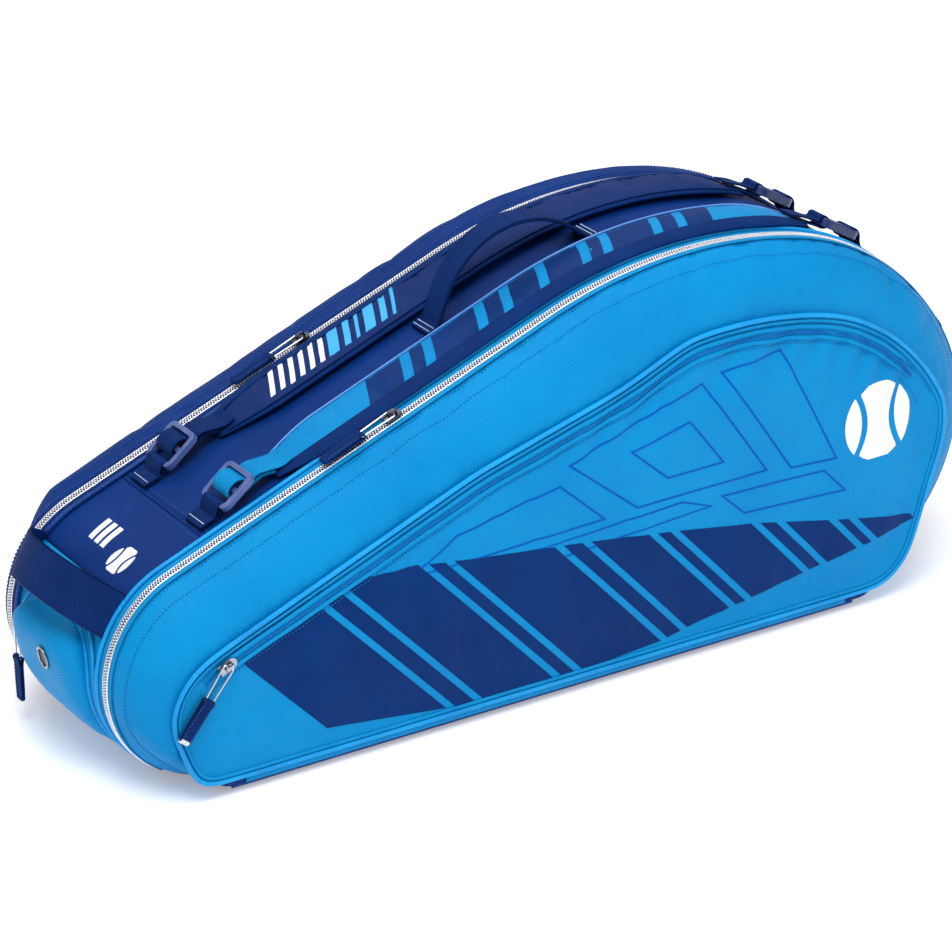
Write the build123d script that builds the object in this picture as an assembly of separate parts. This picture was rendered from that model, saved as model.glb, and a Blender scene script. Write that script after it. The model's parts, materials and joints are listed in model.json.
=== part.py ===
from build123d import *
import os
from math import cos, radians, sin

# Racket tournament bag. +X runs from the handle end to the head end, the front cover is at -Y,
# +Z is up, and the origin is on the floor under the middle of the whole bag. Millimetres.

# ---- Driving dimensions ------------------------------------------------------------------
HEIGHT = 325.0             # floor to the top of the zip line
GUSSET_WIDTH = 156.0       # between the two main zips
COVER_DEPTH = 45.0         # how far each cover stands out from its zip
SLOPE = 21.9               # rise of the long upper edge, degrees
END_X = -293.5             # centre of the handle end's round corner
END_RADIUS = 86.0
CROWN_RADIUS = 390.0       # the long gentle curve over the top
CROWN_END_ANGLE = 78.0
SHOULDER_RADIUS = 235.0
SHOULDER_END_ANGLE = 30.0
WALL = 3.5                 # padded fabric wall
GAP = 0.3                  # clearance between pieces that move apart
BASE_TOP = 9.5             # height of the base tray's edge, where the covers fold
HALF_GUSSET = GUSSET_WIDTH / 2
FACE_Y = HALF_GUSSET + COVER_DEPTH
ZIP_HALF = 7.0             # visible width of one zip tape
TEETH_HALF = 2.4
TAPE_THICKNESS = 1.0
TEETH_HEIGHT = 1.4
PIPING_RADIUS = 1.8

# Crown profiles: (distance out from the zip, inset of the outline all round)
FRONT_CROWN = [(0, 0), (9, 0.4), (21, 4), (33, 11), (41, 18), (COVER_DEPTH, 25)]
REAR_CROWN = [(0, 0), (31, 0.5), (COVER_DEPTH, 17)]

# ---- Outline: three tangent arcs over the top and one round each end ----------------------
c_slope = cos(radians(SLOPE))
s_slope = sin(radians(SLOPE))


def polar(centre, radius, angle):
    return (centre[0] + radius * cos(radians(angle)), centre[1] + radius * sin(radians(angle)))


end_centre = (END_X, END_RADIUS)
crown_z = HEIGHT - CROWN_RADIUS
crown_x = END_X + (c_slope * (crown_z - END_RADIUS) + CROWN_RADIUS - END_RADIUS) / s_slope
crown_centre = (crown_x, crown_z)
shoulder_centre = polar(crown_centre, CROWN_RADIUS - SHOULDER_RADIUS, CROWN_END_ANGLE)
head_sin = sin(radians(SHOULDER_END_ANGLE))
HEAD_RADIUS = (shoulder_centre[1] + SHOULDER_RADIUS * head_sin) / (1 + head_sin)
head_centre = polar(shoulder_centre, SHOULDER_RADIUS - HEAD_RADIUS, SHOULDER_END_ANGLE)
SLOPE_NORMAL = 90 + SLOPE


def outline_edges(inset):
    """The bag's side outline, drawn in the plane of X and Z, moved inwards by inset."""
    end_r = END_RADIUS - inset
    crown_r = CROWN_RADIUS - inset
    shoulder_r = SHOULDER_RADIUS - inset
    head_r = HEAD_RADIUS - inset
    end_turn = 270 - SLOPE_NORMAL
    return [
        CenterArc(end_centre, end_r, SLOPE_NORMAL, end_turn),
        Line((END_X, inset), (head_centre[0], inset)),
        CenterArc(head_centre, head_r, -90, 90 + SHOULDER_END_ANGLE),
        CenterArc(shoulder_centre, shoulder_r, SHOULDER_END_ANGLE, CROWN_END_ANGLE - SHOULDER_END_ANGLE),
        CenterArc(crown_centre, crown_r, CROWN_END_ANGLE, SLOPE_NORMAL - CROWN_END_ANGLE),
        Line(polar(crown_centre, crown_r, SLOPE_NORMAL), polar(end_centre, end_r, SLOPE_NORMAL)),
    ]


def side_plane(y, drop=0.0):
    """A plane of X and Z at this Y; extruding on it goes towards -Y."""
    return Plane(origin=(0, y, -drop), x_dir=(1, 0, 0), z_dir=(0, -1, 0))


def outline_face(inset, y, drop=0.0):
    return side_plane(y, drop) * make_face(Wire(outline_edges(inset)).edges())


def block(inset, y_low, y_high):
    """The outline as a solid slab between two Y values."""
    return extrude(outline_face(inset, y_high), amount=y_high - y_low)


def band(outer, inner, y_low, y_high):
    """A ring that follows the outline, from inner to outer millimetres outside it."""
    return block(-outer, y_low, y_high) - block(-inner, y_low - 1, y_high + 1)


def box(x_low, x_high, y_low, y_high, z_low, z_high):
    size = (x_high - x_low, y_high - y_low, z_high - z_low)
    middle = ((x_high + x_low) / 2, (y_high + y_low) / 2, (z_high + z_low) / 2)
    return Pos(*middle) * Box(*size)


FAR = 600.0


def above(z):
    return box(-FAR, FAR, -FAR, FAR, z, FAR)


def crown_solid(profile, wall, start):
    """The domed volume outside the front zip, from start outwards; wall shrinks it to the inside of the shell."""
    squeeze = (COVER_DEPTH - wall) / COVER_DEPTH
    faces = [outline_face(profile[0][1] + wall, -(HALF_GUSSET + start), profile[0][1])]
    for depth, inset in profile[1:]:
        drop = max(inset, 0)
        faces.append(outline_face(inset + wall, -(HALF_GUSSET + depth * squeeze), drop))
    return loft(faces, ruled=True)


def cover_shell(profile):
    shell = crown_solid(profile, 0, GAP / 2) - crown_solid(profile, WALL, -1)
    return shell & above(BASE_TOP + GAP)


def slope_plane(along, offset, y):
    """Along the long upper slope: X runs uphill, Z points out of the bag. along starts at its lower end."""
    start = polar(end_centre, END_RADIUS + offset, SLOPE_NORMAL)
    origin = (start[0] + along * c_slope, y, start[1] + along * s_slope)
    return Plane(origin=origin, x_dir=(c_slope, 0, s_slope), z_dir=(-s_slope, 0, c_slope))


def arc_plane(centre, radius, angle, y):
    """On an arc of the outline: X runs towards the head end, Z points out of the bag."""
    x, z = polar(centre, radius, angle)
    c, s = cos(radians(angle)), sin(radians(angle))
    return Plane(origin=(x, y, z), x_dir=(s, 0, -c), z_dir=(c, 0, s))


def rear(solid):
    return mirror(solid, about=Plane.XZ)


nodes = {}

# ---- Gusset, base and inner panels --------------------------------------------------------
GUSSET_THICKNESS = 3.0
SEAM_X = -287.0            # seam between the handle-end panel and the top panel
HEAD_SEAM_X = 346.0
gusset = band(0, -GUSSET_THICKNESS, -HALF_GUSSET + GAP / 2, HALF_GUSSET - GAP / 2) & above(BASE_TOP)
nodes["handle_end_gusset_panel"] = gusset & box(-FAR, SEAM_X, -FAR, FAR, BASE_TOP, FAR)
nodes["top_gusset_panel"] = gusset & box(SEAM_X, HEAD_SEAM_X, -FAR, FAR, HEIGHT / 2, FAR)
head_zone = box(HEAD_SEAM_X, FAR, -FAR, FAR, HEIGHT / 2, FAR) + box(0, FAR, -FAR, FAR, BASE_TOP, HEIGHT / 2)
nodes["head_end_gusset_panel"] = gusset & head_zone

BASE_WALL = 4.0
tray_zone = box(-FAR, FAR, -FAR, FAR, -1, BASE_TOP)
side_room = crown_solid(FRONT_CROWN, 0, 0)
whole = block(0, -HALF_GUSSET, HALF_GUSSET) + side_room + rear(side_room)
tray_room = box(END_X, head_centre[0], -FACE_Y + BASE_WALL, FACE_Y - BASE_WALL, BASE_WALL, FAR)
nodes["base_panel"] = (whole & tray_zone) - tray_room

STIFFENER_MARGIN = 8.0
STIFFENER_THICKNESS = 2.5
nodes["base_stiffener"] = box(
    END_X + STIFFENER_MARGIN,
    head_centre[0] - STIFFENER_MARGIN,
    -HALF_GUSSET + STIFFENER_MARGIN,
    HALF_GUSSET - STIFFENER_MARGIN,
    BASE_WALL,
    BASE_WALL + STIFFENER_THICKNESS,
)
DIVIDER_THICKNESS = 3.0
divider = block(GUSSET_THICKNESS + 1, -DIVIDER_THICKNESS / 2, DIVIDER_THICKNESS / 2)
nodes["divider_panel"] = divider & above(BASE_TOP)

# ---- Covers and main zips -----------------------------------------------------------------
nodes["front_cover_shell"] = cover_shell(FRONT_CROWN)
nodes["rear_cover_shell"] = rear(cover_shell(REAR_CROWN))

ZIP_FOOT = 14.0            # the zip stops this far above the floor
TAPE_LIFT = 0.1
y_join = HALF_GUSSET
inner_low, inner_high = -y_join + GAP / 2, -y_join + ZIP_HALF
outer_low, outer_high = -y_join - ZIP_HALF, -y_join - GAP / 2
inner_tape = band(TAPE_LIFT + TAPE_THICKNESS, TAPE_LIFT, inner_low, inner_high) & above(ZIP_FOOT)
outer_tape = band(TAPE_LIFT + TAPE_THICKNESS, TAPE_LIFT, outer_low, outer_high) & above(ZIP_FOOT)
teeth_base = TAPE_LIFT + TAPE_THICKNESS
teeth_top = teeth_base + TEETH_HEIGHT
inner_teeth = band(teeth_top, teeth_base, inner_low, -y_join + TEETH_HALF) & above(ZIP_FOOT)
outer_teeth = band(teeth_top, teeth_base, -y_join - TEETH_HALF, outer_high) & above(ZIP_FOOT)
zip_pieces = {
    "zip_gusset_tape": inner_tape,
    "zip_gusset_teeth": inner_teeth,
    "zip_cover_tape": outer_tape,
    "zip_cover_teeth": outer_teeth,
}
for name, solid in zip_pieces.items():
    nodes["front_" + name] = solid
    nodes["rear_" + name] = rear(solid)

PIPING_Y = HALF_GUSSET - ZIP_HALF - 5.0


def outline_piping(y):
    path = Wire([side_plane(y) * e for e in outline_edges(-PIPING_RADIUS)])
    start = Plane(origin=path @ 0, z_dir=path % 0)
    return sweep(start * Circle(PIPING_RADIUS), path=path) & above(ZIP_FOOT)


nodes["front_gusset_piping"] = outline_piping(-PIPING_Y)
nodes["rear_gusset_piping"] = outline_piping(PIPING_Y)

# ---- Front pocket -------------------------------------------------------------------------
POCKET_LIFT = 0.2
POCKET_THICKNESS = 3.0
POCKET_PIPING_HEIGHT = 2.2
# Corner points of the pocket in X and Z, and the radius of each corner
pocket_corners = [
    (-332, 18, 12),
    (-362, 96, 34),
    (-160, 188, 320),
    (40, 246, 220),
    (150, 294, 90),
    (272, 290, 90),
    (372, 166, 90),
    (322, 18, 46),
]
pocket_face_y = -FACE_Y - POCKET_LIFT
pocket_wire = FilletPolyline(
    [(x, z) for x, z, r in pocket_corners], radius=[r for x, z, r in pocket_corners], close=True
)
POCKET_EDGE = FRONT_CROWN[-1][1]          # the pocket stays on the flat of the cover
pocket_limit = outline_face(POCKET_EDGE + PIPING_RADIUS, pocket_face_y, POCKET_EDGE - PIPING_RADIUS)
pocket_sketch = side_plane(pocket_face_y) * make_face(pocket_wire.edges())
pocket_sketch = pocket_sketch & pocket_limit
nodes["front_pocket_panel"] = extrude(pocket_sketch, amount=POCKET_THICKNESS)

piping_ring = pocket_sketch - offset(pocket_sketch, -2 * PIPING_RADIUS)
piping_ring = Pos(0, -POCKET_THICKNESS, 0) * piping_ring
nodes["front_pocket_piping"] = extrude(piping_ring, amount=POCKET_PIPING_HEIGHT)

# The pocket's zip runs inside its upper edge
POCKET_ZIP_INSET = 10.0
POCKET_ZIP_WIDTH = 6.0
POCKET_ZIP_THICKNESS = 0.8
zip_face = Pos(0, -POCKET_THICKNESS, 0) * pocket_sketch
outer_zip = offset(zip_face, -POCKET_ZIP_INSET)
inner_zip = offset(zip_face, -POCKET_ZIP_INSET - POCKET_ZIP_WIDTH)
POCKET_ZIP_END_X = 250.0
zip_ring = extrude(outer_zip - inner_zip, amount=POCKET_ZIP_THICKNESS)
zip_start = Plane(origin=(-330, 0, 80), z_dir=(-s_slope, 0, c_slope))
upper_half = zip_start * Pos(0, 0, FAR / 2) * Box(2 * FAR, 2 * FAR, FAR)
nodes["front_pocket_zip"] = zip_ring & upper_half & box(-FAR, POCKET_ZIP_END_X, -FAR, FAR, 0, FAR)

# ---- Zip sliders and pulls ----------------------------------------------------------------
SLIDER_LENGTH = 15.0
SLIDER_WIDTH = 9.0
PLATE = 1.6
BRIDGE_LENGTH = 7.6
BRIDGE_WIDTH = 2.6
BRIDGE_HEIGHT = 4.2
HOLE_LENGTH = 5.0
HOLE_HEIGHT = 2.6
WIRE_RADIUS = 0.8
WIRE_LENGTH = 30.0
WIRE_WIDTH = 9.0
PULL_TAB_LENGTH = 34.0
PULL_TAB_WIDTH = 11.0
PULL_TAB_THICKNESS = 2.4
BAR_HEIGHT = PLATE + HOLE_HEIGHT / 2      # the pull's pivot above the slider's foot


def slider_body():
    """A slider, X along its zip: a plate with a round nose, two side lips and the pull's bridge."""
    nose = Pos(SLIDER_LENGTH / 2 - SLIDER_WIDTH / 2, 0, 0) * Cylinder(
        SLIDER_WIDTH / 2, PLATE, align=(Align.CENTER, Align.CENTER, Align.MIN)
    )
    deck_length = SLIDER_LENGTH - SLIDER_WIDTH / 2
    deck = Pos(-SLIDER_WIDTH / 4, 0, 0) * Box(
        deck_length, SLIDER_WIDTH, PLATE, align=(Align.CENTER, Align.CENTER, Align.MIN)
    )
    bridge = Pos(0, 0, PLATE) * Box(
        BRIDGE_LENGTH, BRIDGE_WIDTH, BRIDGE_HEIGHT, align=(Align.CENTER, Align.CENTER, Align.MIN)
    )
    bridge = fillet(bridge.edges().filter_by(Axis.Y).group_by(Axis.Z)[-1], 1.5)
    hole = Pos(0, 0, PLATE) * Box(
        HOLE_LENGTH, 2 * BRIDGE_WIDTH, HOLE_HEIGHT, align=(Align.CENTER, Align.CENTER, Align.MIN)
    )
    return deck + nose + (bridge - hole)


def pull_loop():
    """The pull's wire loop, its bar through the bridge, lying along -X."""
    half = WIRE_WIDTH / 2
    path = FilletPolyline(
        [(0, half, 0), (-WIRE_LENGTH, half - 1, 0), (-WIRE_LENGTH, 1 - half, 0), (0, -half, 0)],
        radius=1.4,
        close=True,
    )
    start = Plane(origin=path @ 0, z_dir=path % 0)
    return Pos(0, 0, BAR_HEIGHT) * sweep(start * Circle(WIRE_RADIUS), path=path)


def pull_tab():
    """The fabric tab, folded through the far end of the wire loop."""
    reach = WIRE_LENGTH + WIRE_RADIUS + GAP
    tab = Pos(-reach - PULL_TAB_LENGTH / 2, 0, BAR_HEIGHT) * Box(
        PULL_TAB_LENGTH, PULL_TAB_WIDTH, PULL_TAB_THICKNESS
    )
    return fillet(tab.edges().filter_by(Axis.Z), 2.0)


def zip_set(prefix, plane, turn):
    """A slider and its pull, standing on plane, with the pull turned about the plane's normal."""
    nodes[prefix + "_slider"] = plane * slider_body()
    nodes[prefix + "_pull_loop"] = plane * Rot(0, 0, turn) * pull_loop()
    nodes[prefix + "_pull_tab"] = plane * Rot(0, 0, turn) * pull_tab()


SLIDER_CLEAR = teeth_top + 1.5
FRONT_SLIDER_ALONG = 208.0
REAR_SLIDER_ALONG = 221.0
zip_set("front_main", slope_plane(FRONT_SLIDER_ALONG, SLIDER_CLEAR, -HALF_GUSSET), 0)
zip_set("rear_main", slope_plane(REAR_SLIDER_ALONG, SLIDER_CLEAR, HALF_GUSSET), 0)

POCKET_SLIDER_X = -306.0
POCKET_SLIDER_Z = 109.0
POCKET_SLIDER_CLEAR = POCKET_THICKNESS + POCKET_ZIP_THICKNESS + GAP
POCKET_SLOPE = 24.5        # the first stretch of the pocket's zip, degrees
POCKET_PULL_TURN = 28.0
pocket_frame = Plane(
    origin=(POCKET_SLIDER_X, pocket_face_y - POCKET_SLIDER_CLEAR, POCKET_SLIDER_Z),
    x_dir=(cos(radians(POCKET_SLOPE)), 0, sin(radians(POCKET_SLOPE))),
    z_dir=(0, -1, 0),
)
zip_set("pocket", pocket_frame, POCKET_PULL_TURN)

# ---- Ball pocket on the handle end --------------------------------------------------------
DOME_HALF_WIDTH = 51.0
DOME_WALL = 2.6
DOME_ROUNDING = 14.0
RIM_WIDTH = 11.0
RIM_LAP = 8.0              # how far the rim reaches in under the flap
RIM_THICKNESS = 2.0


def dome_profile(shrink):
    """The side view of the domed flap, outside the end's round corner."""
    lower = polar(end_centre, END_RADIUS - 12, 236)
    upper = polar(end_centre, END_RADIUS - 12, 159)
    bulge = (END_X - 102.0 + shrink, 80.0)
    crest = (END_X - 106.0 + shrink, 106.0)
    brow = (END_X - 93.0 + shrink * 0.4, 121.0 - shrink)
    edges = [
        ThreePointArc(lower, (END_X - 82.0 + shrink, 36.0), bulge),
        Line(bulge, crest),
        Line(crest, brow),
        Line(brow, upper),
        Line(upper, lower),
    ]
    return make_face(Wire(edges).edges())


def dome_solid(shrink):
    half = DOME_HALF_WIDTH - shrink
    slab = extrude(side_plane(half) * dome_profile(shrink), amount=2 * half)
    outer_edges = [e for e in slab.edges() if abs(abs(e.center().Y) - half) < 0.1]
    outer_edges = [e for e in outer_edges if e.center().X < END_X - 76]
    return fillet(outer_edges, DOME_ROUNDING - shrink)


bag_side = block(-RIM_THICKNESS - GAP, -HALF_GUSSET, HALF_GUSSET)
dome = dome_solid(0) - dome_solid(DOME_WALL) - bag_side
nodes["end_pocket_flap"] = dome.solids().sort_by(SortBy.VOLUME)[-1]

rim_outer = band(RIM_THICKNESS, GAP, -DOME_HALF_WIDTH - RIM_WIDTH, DOME_HALF_WIDTH + RIM_WIDTH)
rim_zone = box(-FAR, END_X - 44, -FAR, FAR, ZIP_FOOT + 2, 122)
rim_room = box(-FAR, 0, -DOME_HALF_WIDTH + RIM_LAP, DOME_HALF_WIDTH - RIM_LAP, 26, 110)
nodes["end_pocket_rim"] = (rim_outer & rim_zone) - rim_room

EYELET_RADIUS = 7.0
eyelet_plane = Plane(origin=(END_X - 104.0, -14, 92), z_dir=(-1, 0, 0))
nodes["end_pocket_eyelet"] = eyelet_plane * (
    Cylinder(EYELET_RADIUS, 4.4) - Cylinder(EYELET_RADIUS / 2, 10)
)
eyelet_hole = eyelet_plane * Cylinder(EYELET_RADIUS + GAP, 16)
nodes["end_pocket_flap"] = nodes["end_pocket_flap"] - eyelet_hole

END_SLIDER_ANGLE = 180.0
END_SLIDER_Y = 59.0
end_slider_radius = END_RADIUS + RIM_THICKNESS + GAP
zip_set("end_pocket", arc_plane(end_centre, end_slider_radius, END_SLIDER_ANGLE, END_SLIDER_Y), 0)

# ---- Grab loop across the handle end ------------------------------------------------------
LOOP_ANGLE = 144.0         # where its ends are sewn, round the handle end's corner
LOOP_WIDTH = 37.0
LOOP_THICKNESS = 2.6
LOOP_RISE = 27.0
LOOP_HALF_SPAN = PIPING_Y - PIPING_RADIUS - 1.0
loop_plane = arc_plane(end_centre, END_RADIUS, LOOP_ANGLE, 0)
LOOP_FOOT = 2.2


def loop_strip():
    """A strip bowed across the end, drawn in the loop's own frame: Y across, Z out of the bag."""
    outer = ThreePointArc(
        (-LOOP_HALF_SPAN, LOOP_FOOT), (0, LOOP_FOOT + LOOP_RISE), (LOOP_HALF_SPAN, LOOP_FOOT)
    )
    inner_half = LOOP_HALF_SPAN - LOOP_THICKNESS
    inner = ThreePointArc(
        (-inner_half, LOOP_FOOT), (0, LOOP_FOOT + LOOP_RISE - LOOP_THICKNESS), (inner_half, LOOP_FOOT)
    )
    ends = [Line(outer @ 0, inner @ 0), Line(outer @ 1, inner @ 1)]
    face = make_face(Wire([outer, inner] + ends).edges())
    strip_plane = Plane(origin=(-LOOP_WIDTH / 2, 0, 0), x_dir=(0, 1, 0), z_dir=(1, 0, 0))
    return extrude(strip_plane * face, amount=LOOP_WIDTH)


nodes["end_grab_loop"] = loop_plane * loop_strip()

# ---- Carry handle -------------------------------------------------------------------------
HANDLE_WIDTH = 26.0
HANDLE_THICKNESS = 3.0
HANDLE_HALF_SPAN = 62.0
HANDLE_START = 14.0
HANDLE_RISE = 47.0
HANDLE_TILT = 17.7         # slope of the line through its feet
handle_x = 16.0
handle_z = HEIGHT - 24.0
handle_plane = Plane(
    origin=(handle_x, 0, handle_z),
    x_dir=(cos(radians(HANDLE_TILT)), 0, sin(radians(HANDLE_TILT))),
    z_dir=(-sin(radians(HANDLE_TILT)), 0, cos(radians(HANDLE_TILT))),
)


def handle_arch():
    outer = ThreePointArc(
        (-HANDLE_HALF_SPAN, HANDLE_START), (0, HANDLE_RISE), (HANDLE_HALF_SPAN, HANDLE_START)
    )
    inner_half = HANDLE_HALF_SPAN - HANDLE_THICKNESS * 1.3
    inner = ThreePointArc(
        (-inner_half, HANDLE_START), (0, HANDLE_RISE - HANDLE_THICKNESS), (inner_half, HANDLE_START)
    )
    ends = [Line(outer @ 0, inner @ 0), Line(outer @ 1, inner @ 1)]
    face = make_face(Wire([outer, inner] + ends).edges())
    return extrude(side_plane(HANDLE_WIDTH / 2) * face, amount=HANDLE_WIDTH)


nodes["carry_handle"] = handle_plane * handle_arch()

PATCH_LENGTH = 30.0
foot_post = HANDLE_START - GAP


def handle_foot(side):
    """The sewn end of the handle: a short riser beside the arch's leg."""
    x_foot = side * (HANDLE_HALF_SPAN + GAP + HANDLE_THICKNESS / 2)
    riser = Pos(x_foot, 0, foot_post / 2 - 4) * Box(HANDLE_THICKNESS, HANDLE_WIDTH - 2, foot_post + 8)
    return handle_plane * riser


PATCH_LIFT = 0.2
PATCH_THICKNESS = 1.4
PATCH_REACH = 60.0         # from the handle's middle to each patch's middle
patches = band(PATCH_LIFT + PATCH_THICKNESS, PATCH_LIFT, -HANDLE_WIDTH / 2, HANDLE_WIDTH / 2)
under_feet = block(-PATCH_LIFT, -HALF_GUSSET, HALF_GUSSET)
feet = []
for side in (-1, 1):
    patch_x = handle_x + side * PATCH_REACH
    zone = box(patch_x - PATCH_LENGTH / 2, patch_x + PATCH_LENGTH / 2, -FAR, FAR, HEIGHT / 2, FAR)
    feet.append((patches & zone) + (handle_foot(side) - under_feet))
nodes["carry_handle_feet"] = feet

# ---- Shoulder straps ----------------------------------------------------------------------
STRAP_INNER = 18.0
STRAP_OUTER = 69.0
STRAP_THICKNESS = 12.0
STRAP_LIFT = 2.4
STRAP_START_X = -220.0
STRAP_END_X = 262.0
BINDING = 5.0
STRAP_NECK = 26.0          # width of the strap where it narrows to its webbing
strap_middle = -(STRAP_INNER + STRAP_OUTER) / 2
strap_half = (STRAP_OUTER - STRAP_INNER) / 2
TAPER = 46.0


def strap_plan(margin):
    """The strap seen from above, with both ends narrowing."""
    half = strap_half - margin
    neck = STRAP_NECK / 2 - margin
    points = [
        (STRAP_START_X, -neck),
        (STRAP_START_X + TAPER, -half),
        (STRAP_END_X - TAPER, -half),
        (STRAP_END_X, -neck),
        (STRAP_END_X, neck),
        (STRAP_END_X - TAPER, half),
        (STRAP_START_X + TAPER, half),
        (STRAP_START_X, neck),
    ]
    face = make_face(Polyline(points, close=True).edges())
    return Pos(0, strap_middle, 150) * extrude(face, amount=FAR)


strap_band = band(STRAP_LIFT + STRAP_THICKNESS, STRAP_LIFT, -STRAP_OUTER - 1, -STRAP_INNER + 1)
strap_body = strap_band & strap_plan(BINDING)
edge_band = band(STRAP_LIFT + 8.0, STRAP_LIFT + 3.0, -STRAP_OUTER - 1, -STRAP_INNER + 1)
strap_binding = (edge_band & strap_plan(0)) - strap_plan(BINDING)

# Ladder-lock buckle at the handle end, in its own frame: X uphill, Z out of the bag
BUCKLE_LENGTH = 34.0
BUCKLE_WIDTH = 36.0
BUCKLE_THICKNESS = 5.0
BUCKLE_BAR = 4.2
WEB_WIDTH = 24.0
WEB_THICKNESS = 1.6
BUCKLE_TILT = 18.0


def buckle():
    frame = Box(BUCKLE_LENGTH, BUCKLE_WIDTH, BUCKLE_THICKNESS)
    frame = fillet(frame.edges().filter_by(Axis.Z), 6.0)
    window = Box(BUCKLE_LENGTH - 2 * BUCKLE_BAR, BUCKLE_WIDTH - 2 * BUCKLE_BAR, 4 * BUCKLE_THICKNESS)
    window = fillet(window.edges().filter_by(Axis.Z), 2.5)
    middle_bar = Box(BUCKLE_BAR, BUCKLE_WIDTH - BUCKLE_BAR, BUCKLE_THICKNESS - 2)
    shape = frame - window + middle_bar
    return fillet(shape.edges().filter_by(GeomType.LINE).group_by(Axis.Z)[-1], 0.8)


def ribbon_face(points, thickness):
    """A bent ribbon's edge-on shape: the points pushed half a thickness to each side."""
    upper = [(x, z + thickness / 2) for x, z in points]
    lower = [(x, z - thickness / 2) for x, z in reversed(points)]
    return make_face(Polyline(upper + lower, close=True).edges())


def ribbon(points, thickness, width):
    return extrude(side_plane(width / 2) * ribbon_face(points, thickness), amount=width)


BUCKLE_ALONG = 80.0
BUCKLE_OFFSET = 12.5
buckle_plane = slope_plane(BUCKLE_ALONG, BUCKLE_OFFSET, strap_middle) * Rot(0, -BUCKLE_TILT, 0)
WEB_TOP = BUCKLE_THICKNESS / 2 + 1.3
web_points = [(33, -10), (25, -1), (19, WEB_TOP), (-3, WEB_TOP), (-10, 0.5)]

# Hook at the head end
HOOK_ANGLE = 61.0
HOOK_LENGTH = 40.0
HOOK_WIDTH = 30.0
HOOK_THICKNESS = 7.0
hook_plane = arc_plane(shoulder_centre, SHOULDER_RADIUS + STRAP_LIFT + 6.5, HOOK_ANGLE, strap_middle)


def hook():
    """A flat cast hook: an eye that holds the strap and a gate that takes the anchor's loop."""
    body = Box(HOOK_LENGTH, HOOK_WIDTH, HOOK_THICKNESS)
    body = fillet(body.edges().filter_by(Axis.Z), 8.0)
    eye = Pos(-HOOK_LENGTH / 2 + 9, 0, 0) * Box(8, HOOK_WIDTH - 10, 4 * HOOK_THICKNESS)
    gate = Pos(HOOK_LENGTH / 2 - 9, 0, 0) * Box(8, HOOK_WIDTH - 10, 4 * HOOK_THICKNESS)
    return chamfer((body - eye - gate).edges().group_by(Axis.Z)[-1], 1.2)


# Webbing tabs sewn to the gusset, which hold the buckle and the hook
TAB_LIFT = 0.2
TAB_THICKNESS = 2.0
tab_low = strap_middle - WEB_WIDTH / 2
tab_high = strap_middle + WEB_WIDTH / 2
tab_band = band(TAB_LIFT + TAB_THICKNESS, TAB_LIFT, tab_low, tab_high)
TAB_LENGTH_X = 32.0
handle_tab = tab_band & box(SEAM_X, SEAM_X + TAB_LENGTH_X, -FAR, FAR, HEIGHT / 2, FAR)
HOOK_TAB_START = 8.0       # from the hook's middle towards the head end
hook_tab_x = hook_plane.origin.X + HOOK_TAB_START
head_tab = tab_band & box(hook_tab_x, hook_tab_x + TAB_LENGTH_X + 4, -FAR, FAR, HEIGHT / 2, FAR)

strap_pieces = {
    "shoulder_strap": strap_body,
    "strap_binding": strap_binding,
    "strap_buckle": buckle_plane * buckle(),
    "strap_webbing": buckle_plane * ribbon(web_points, WEB_THICKNESS, WEB_WIDTH),
    "strap_hook": hook_plane * hook(),
    "buckle_tab": handle_tab,
    "hook_tab": head_tab,
}
for name, solid in strap_pieces.items():
    nodes["front_" + name] = solid
    nodes["rear_" + name] = rear(solid)

# ---- Hang loop at the head end ------------------------------------------------------------
HANG_ANGLE = 34.0
HANG_WIDTH = 24.0
HANG_THICKNESS = 3.0
hang_plane = arc_plane(head_centre, HEAD_RADIUS + GAP, HANG_ANGLE, -HALF_GUSSET + ZIP_HALF + HANG_WIDTH)
hang_points = [(-30, 1), (-6, 2), (10, 9), (26, 11)]
nodes["head_hang_loop"] = hang_plane * ribbon(hang_points, HANG_THICKNESS, HANG_WIDTH)

# ---- Write every node ---------------------------------------------------------------------
os.makedirs("parts", exist_ok=True)
for name, solid in nodes.items():
    pieces = solid if isinstance(solid, list) else [solid]
    solids = [s for piece in pieces for s in piece.solids()]
    shape = solids[0] if len(solids) == 1 else Compound(children=solids)
    shape.label = name
    export_step(shape, "parts/" + name + ".step")
    print(name, len(solids), round(sum(s.volume for s in solids)))
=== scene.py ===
import json
from math import cos, pi, radians, sin

import bmesh
import bpy
import numpy as np
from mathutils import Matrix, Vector, noise
from mathutils.bvhtree import BVHTree


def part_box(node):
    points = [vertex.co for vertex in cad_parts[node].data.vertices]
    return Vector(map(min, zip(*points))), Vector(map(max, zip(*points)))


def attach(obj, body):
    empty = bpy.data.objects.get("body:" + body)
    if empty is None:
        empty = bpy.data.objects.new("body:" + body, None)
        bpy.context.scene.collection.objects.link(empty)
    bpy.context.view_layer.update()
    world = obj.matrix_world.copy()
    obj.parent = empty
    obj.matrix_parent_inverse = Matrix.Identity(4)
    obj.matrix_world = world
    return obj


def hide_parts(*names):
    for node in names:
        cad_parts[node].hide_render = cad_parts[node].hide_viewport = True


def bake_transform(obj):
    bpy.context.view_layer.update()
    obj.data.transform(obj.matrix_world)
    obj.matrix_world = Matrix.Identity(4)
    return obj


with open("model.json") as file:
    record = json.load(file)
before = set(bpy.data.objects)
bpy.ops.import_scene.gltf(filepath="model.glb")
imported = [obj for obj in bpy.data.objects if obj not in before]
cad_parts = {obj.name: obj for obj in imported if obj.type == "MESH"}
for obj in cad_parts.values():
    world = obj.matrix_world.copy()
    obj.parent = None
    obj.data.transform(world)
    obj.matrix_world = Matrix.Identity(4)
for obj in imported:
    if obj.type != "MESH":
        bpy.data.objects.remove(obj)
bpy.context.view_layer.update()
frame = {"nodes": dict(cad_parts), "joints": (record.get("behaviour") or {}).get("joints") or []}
SEEN = frame["nodes"]

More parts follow.
